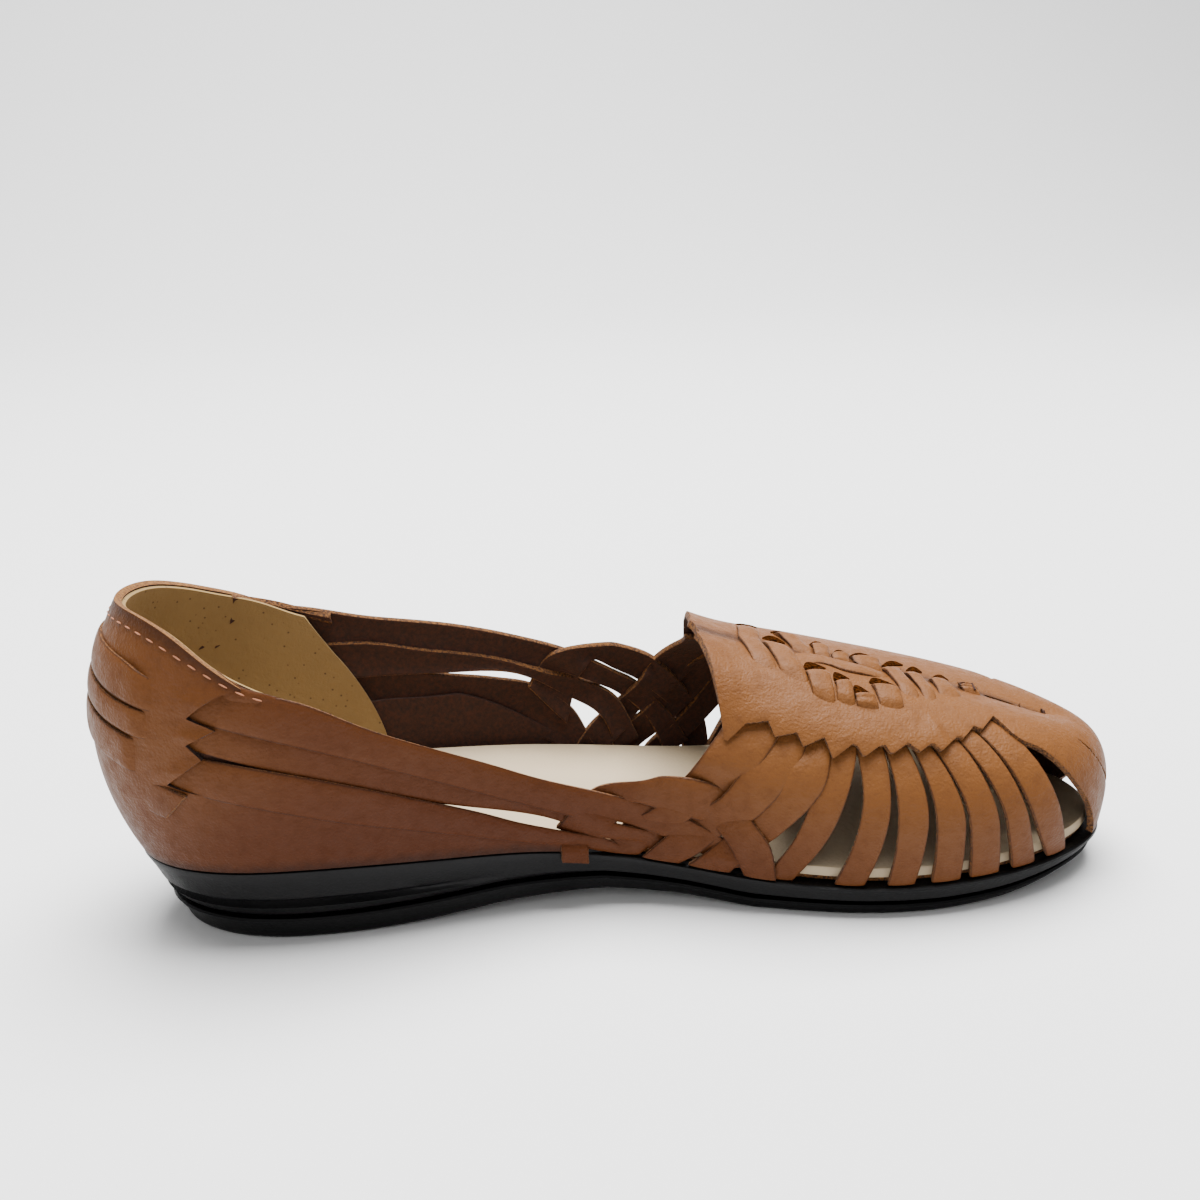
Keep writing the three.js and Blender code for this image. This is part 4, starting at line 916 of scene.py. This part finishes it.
# Back straps. Three short straps of the same leather are woven round the back of the heel: each
# comes up through a slot in the counter on one side and goes down through one on the other.
BACK = (
    # upper edge, then lower edge, as share and climb, from the middle of the back to the slot
    (((0, 0.337), (0.022, 0.327), (0.058, 0.3)), ((0, 0.296), (0.022, 0.279), (0.06, 0.259))),
    (((0, 0.292), (0.022, 0.275), (0.053, 0.262)), ((0, 0.258), (0.022, 0.239), (0.053, 0.221))),
    (((0, 0.254), (0.02, 0.236), (0.04, 0.223)), ((0, 0.203), (0.02, 0.185), (0.038, 0.171))),
)
BACK_LIFTS = (-0.0003, 0.0020, 0.0019, 0.0018, 0.0019, 0.0018, 0.0019, 0.0020, -0.0003)
for number, (upper_edge, lower_edge) in enumerate(BACK, 1):
    edges = [[(-share, climb) for share, climb in edge[:0:-1]] + list(edge)
             for edge in (lower_edge, upper_edge)]
    strap(f"back_strap_{number}", *edges, BACK_LIFTS, columns=64, crown=FLAT_CROWN)

# Centre weave. Short straps come up through slots on top of the plug and go down through slots
# nearer the side, in two rows, with one strap lying lengthwise between the rows.
RUNGS = (
    # corners as share and climb: far left, far right, near left, near right; past 1 is over the ridge
    ((0.652, 1.2), (0.676, 1.2), (0.643, 0.75), (0.668, 0.733)),
    ((0.678, 1.06), (0.703, 1.05), (0.668, 0.733), (0.695, 0.695)),
    ((0.69, 1.154), (0.712, 1.16), (0.714, 0.99), (0.738, 0.954)),
    ((0.698, 0.817), (0.727, 0.862), (0.69, 0.654), (0.71, 0.621)),
    ((0.732, 1.096), (0.752, 1.12), (0.735, 0.98), (0.752, 0.965)),
    ((0.725, 0.779), (0.745, 0.812), (0.713, 0.65), (0.73, 0.633)),
    ((0.755, 1.04), (0.775, 1.08), (0.753, 0.967), (0.773, 0.96)),
    ((0.737, 0.717), (0.757, 0.733), (0.732, 0.642), (0.755, 0.642)),
    ((0.775, 1.06), (0.805, 1.1), (0.783, 0.954), (0.813, 0.97)),
    ((0.767, 0.812), (0.797, 0.825), (0.758, 0.658), (0.783, 0.658)),
    ((0.812, 1.04), (0.837, 1.1), (0.795, 0.75), (0.813, 0.725)),
    ((0.84, 1.054), (0.858, 1.07), (0.817, 0.733), (0.833, 0.742)),
    ((0.868, 1.033), (0.888, 1.06), (0.843, 0.796), (0.873, 0.812)),
    ((0.9, 1.033), (0.92, 1.06), (0.9, 0.954), (0.92, 0.95)),
)
RUNG_LIFTS = (0.0002, 0.0023, 0.0021, 0.0018, 0.0002)
# a slot is drawn as a thin dark sheet on the plug at each strap's far end: painted shadow in the opening the
# strap comes up out of; the next lines give its width, lift and thickness
SLOT_CLIMB = 0.045  # how wide a slot gapes, as a climb
SLOT_UNDER = 0.01  # how much climb of it lies under the end of its strap
SLOT_LIFTS = (0.0009, 0.0010, 0.0010, 0.0010, 0.0009)
SLOT_THICK, SLOT_CROWN = 0.0005, 0.0002
LANE = (((0.71, 1.0), (0.735, 0.995), (0.757, 0.98), (0.787, 0.97), (0.814, 0.965)),
        ((0.702, 0.86), (0.73, 0.9), (0.75, 0.87), (0.773, 0.87), (0.8, 0.885)))
LANE_LIFTS = (0.0006, 0.0015, 0.0017, 0.0016, 0.0006)
slot_shadow = Surface("slot_shadow", 1.0, Specular_IOR_Level=0.0)
fuzz = slot_shadow.noise(1400, 6, 0.7)
slot_shadow.set("Base Color", slot_shadow.mix(fuzz.between(0.4, 0.7), colour(16, 6, 2), colour(74, 38, 12)))
shares = np.linspace(0, 1, 5)[:, None]
for number, rung in enumerate(RUNGS, 1):
    far_left, far_right, near_left, near_right = np.array(rung)
    strap(f"ridge_strap_{number}", far_left + (near_left - far_left) * shares,
          far_right + (near_right - far_right) * shares, RUNG_LIFTS, columns=20, crown=ROUND_CROWN)
    # the painted shadow of the slot, a thin dark lens just beyond the strap's far end
    slot = far_left + (far_right - far_left) * shares
    gape = SLOT_CLIMB * np.hstack([0 * shares, np.sin(math.pi * shares)])
    strap(f"ridge_slot_shadow_{number}", slot - (0, SLOT_UNDER), slot + gape, SLOT_LIFTS,
          columns=12, rows=4, crown=SLOT_CROWN, thick=SLOT_THICK, faces=3 * (slot_shadow,))
strap("ridge_lane", *LANE, LANE_LIFTS, columns=30, crown=ROUND_CROWN)

# Heel lining. Olive-beige suede with fine pores, cemented inside the counter and the quarters from
# the topline down to the footbed; it ends in a slanting cut edge on either side.
LINING = (
    (0.0, 0.373), (0.015, 0.376), (0.04, 0.369), (0.07, 0.348), (0.097, 0.319), (0.13, 0.292), (0.2, 0.25),
)
LINING_FOOT = 0.012  # climb of its lower edge
LINING_FRONT = ((0, 0.15, 0.5, 0.8, 1), (0.255, 0.25, 0.227, 0.197, 0.172))  # share along the last, by height
LINING_DEPTH, LINING_THICK = 0.0012, 0.001  # how far inside the last's surface its back lies
lining_top = climb_by_angle(LINING)
lining_front = smooth_line(LINING_FRONT[0], angle_of(LINING_FRONT[1]))
suede = Surface("olive_suede", 0.95)
pores = suede.cells(420)
suede_tone = suede.mix(suede.noise(40, 5), colour(146, 118, 74), colour(122, 96, 55))
suede.set("Base Color", suede.mix(1 - pores.between(0.0, 0.18), suede_tone, colour(52, 36, 16)))
suede.set("Normal", suede.bump(suede.noise(1200, 5, 0.7) + pores * 0.5, 0.0003, 0.7))


def lining_place(along, across):
    angle = (2 * along - 1) * lining_front(across)
    top = raised(angle, lining_top(np.minimum(np.abs(angle), angle_of(LINING[-1][0]))))
    return skin(angle, LINING_FOOT + (top - LINING_FOOT) * across, -LINING_DEPTH)


lining = grid("suede_lining", 80, 30, lining_place)
face_towards(lining, (-1, 0, 0))
add_wall(lining, LINING_THICK, (flesh, suede, suede))
finish_mesh(lining, [], 45)
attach(lining, "root")
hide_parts("heel_lining")

# Lasting margin. The ends of the straps and the lower edge of the leather are turned under the
# foot, skived, and cemented between the footbed and the sole all round.
MARGIN = ((0, 0.5, 1), (-0.0032, -0.006, -0.01))  # how far in from the feather edge, across its width
MARGIN_HEIGHT, MARGIN_THICK = 0.0012, 0.0011


def margin_place(along, across):
    return inset(2 * math.pi * along, np.interp(across, *MARGIN)) + np.array([0, 0, MARGIN_HEIGHT])


margin = grid("lasting_margin", 240, 2, margin_place)
thicken(margin, MARGIN_THICK, 0)
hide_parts("upper")

# Stitching. Pale thread holds the counter to its lining, in short stitches that run a few
# millimetres below the topline round the collar.
STITCHES = ((0.0, 0.357), (0.025, 0.36), (0.052, 0.347), (0.088, 0.318), (0.122, 0.29), (0.15, 0.276))
STITCH_LIFT = ((0.6, 0.75), (0.001, 0.0013))  # by angle: over the counter, then over the band
STITCH_GAP = 0.0042  # from one stitch to the next
STITCH_ENDS = (0.15, 0.85)  # where a stitch starts and ends in its gap
STITCH = (0.0012, 0.00024, 0.0002)  # half its length, width and height
thread = Surface("pale_thread", 0.8)
thread.set("Base Color", colour(150, 96, 66))
stitch_line = climb_by_angle(STITCHES)
end = float(angle_of(STITCHES[-1][0]))
fan = np.linspace(-end, end, 400)
line = skin(fan, raised(fan, stitch_line(np.abs(fan))), np.interp(np.abs(fan), *STITCH_LIFT))
walked = np.concatenate([[0], np.cumsum(np.linalg.norm(np.diff(line, axis=0), axis=1))])
stitches = []
for number in range(int(walked[-1] / STITCH_GAP)):
    start, stop = (np.array([np.interp((number + share) * STITCH_GAP, walked, line[:, k]) for k in range(3)])
                   for share in STITCH_ENDS)
    bpy.ops.mesh.primitive_uv_sphere_add(segments=10, ring_count=6, radius=1, location=(start + stop) / 2)
    stitch = bpy.context.object
    stitch.rotation_euler = Vector(stop - start).to_track_quat("X", "Z").to_euler()
    stitch.scale = STITCH
    stitches.append(stitch)
work_on(*stitches)
bpy.ops.object.join()
stitching = bpy.context.object
stitching.name = "topline_stitching"
bpy.ops.object.transform_apply(location=True, rotation=True, scale=True)
finish_mesh(stitching, [thread], 60)
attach(stitching, "root")
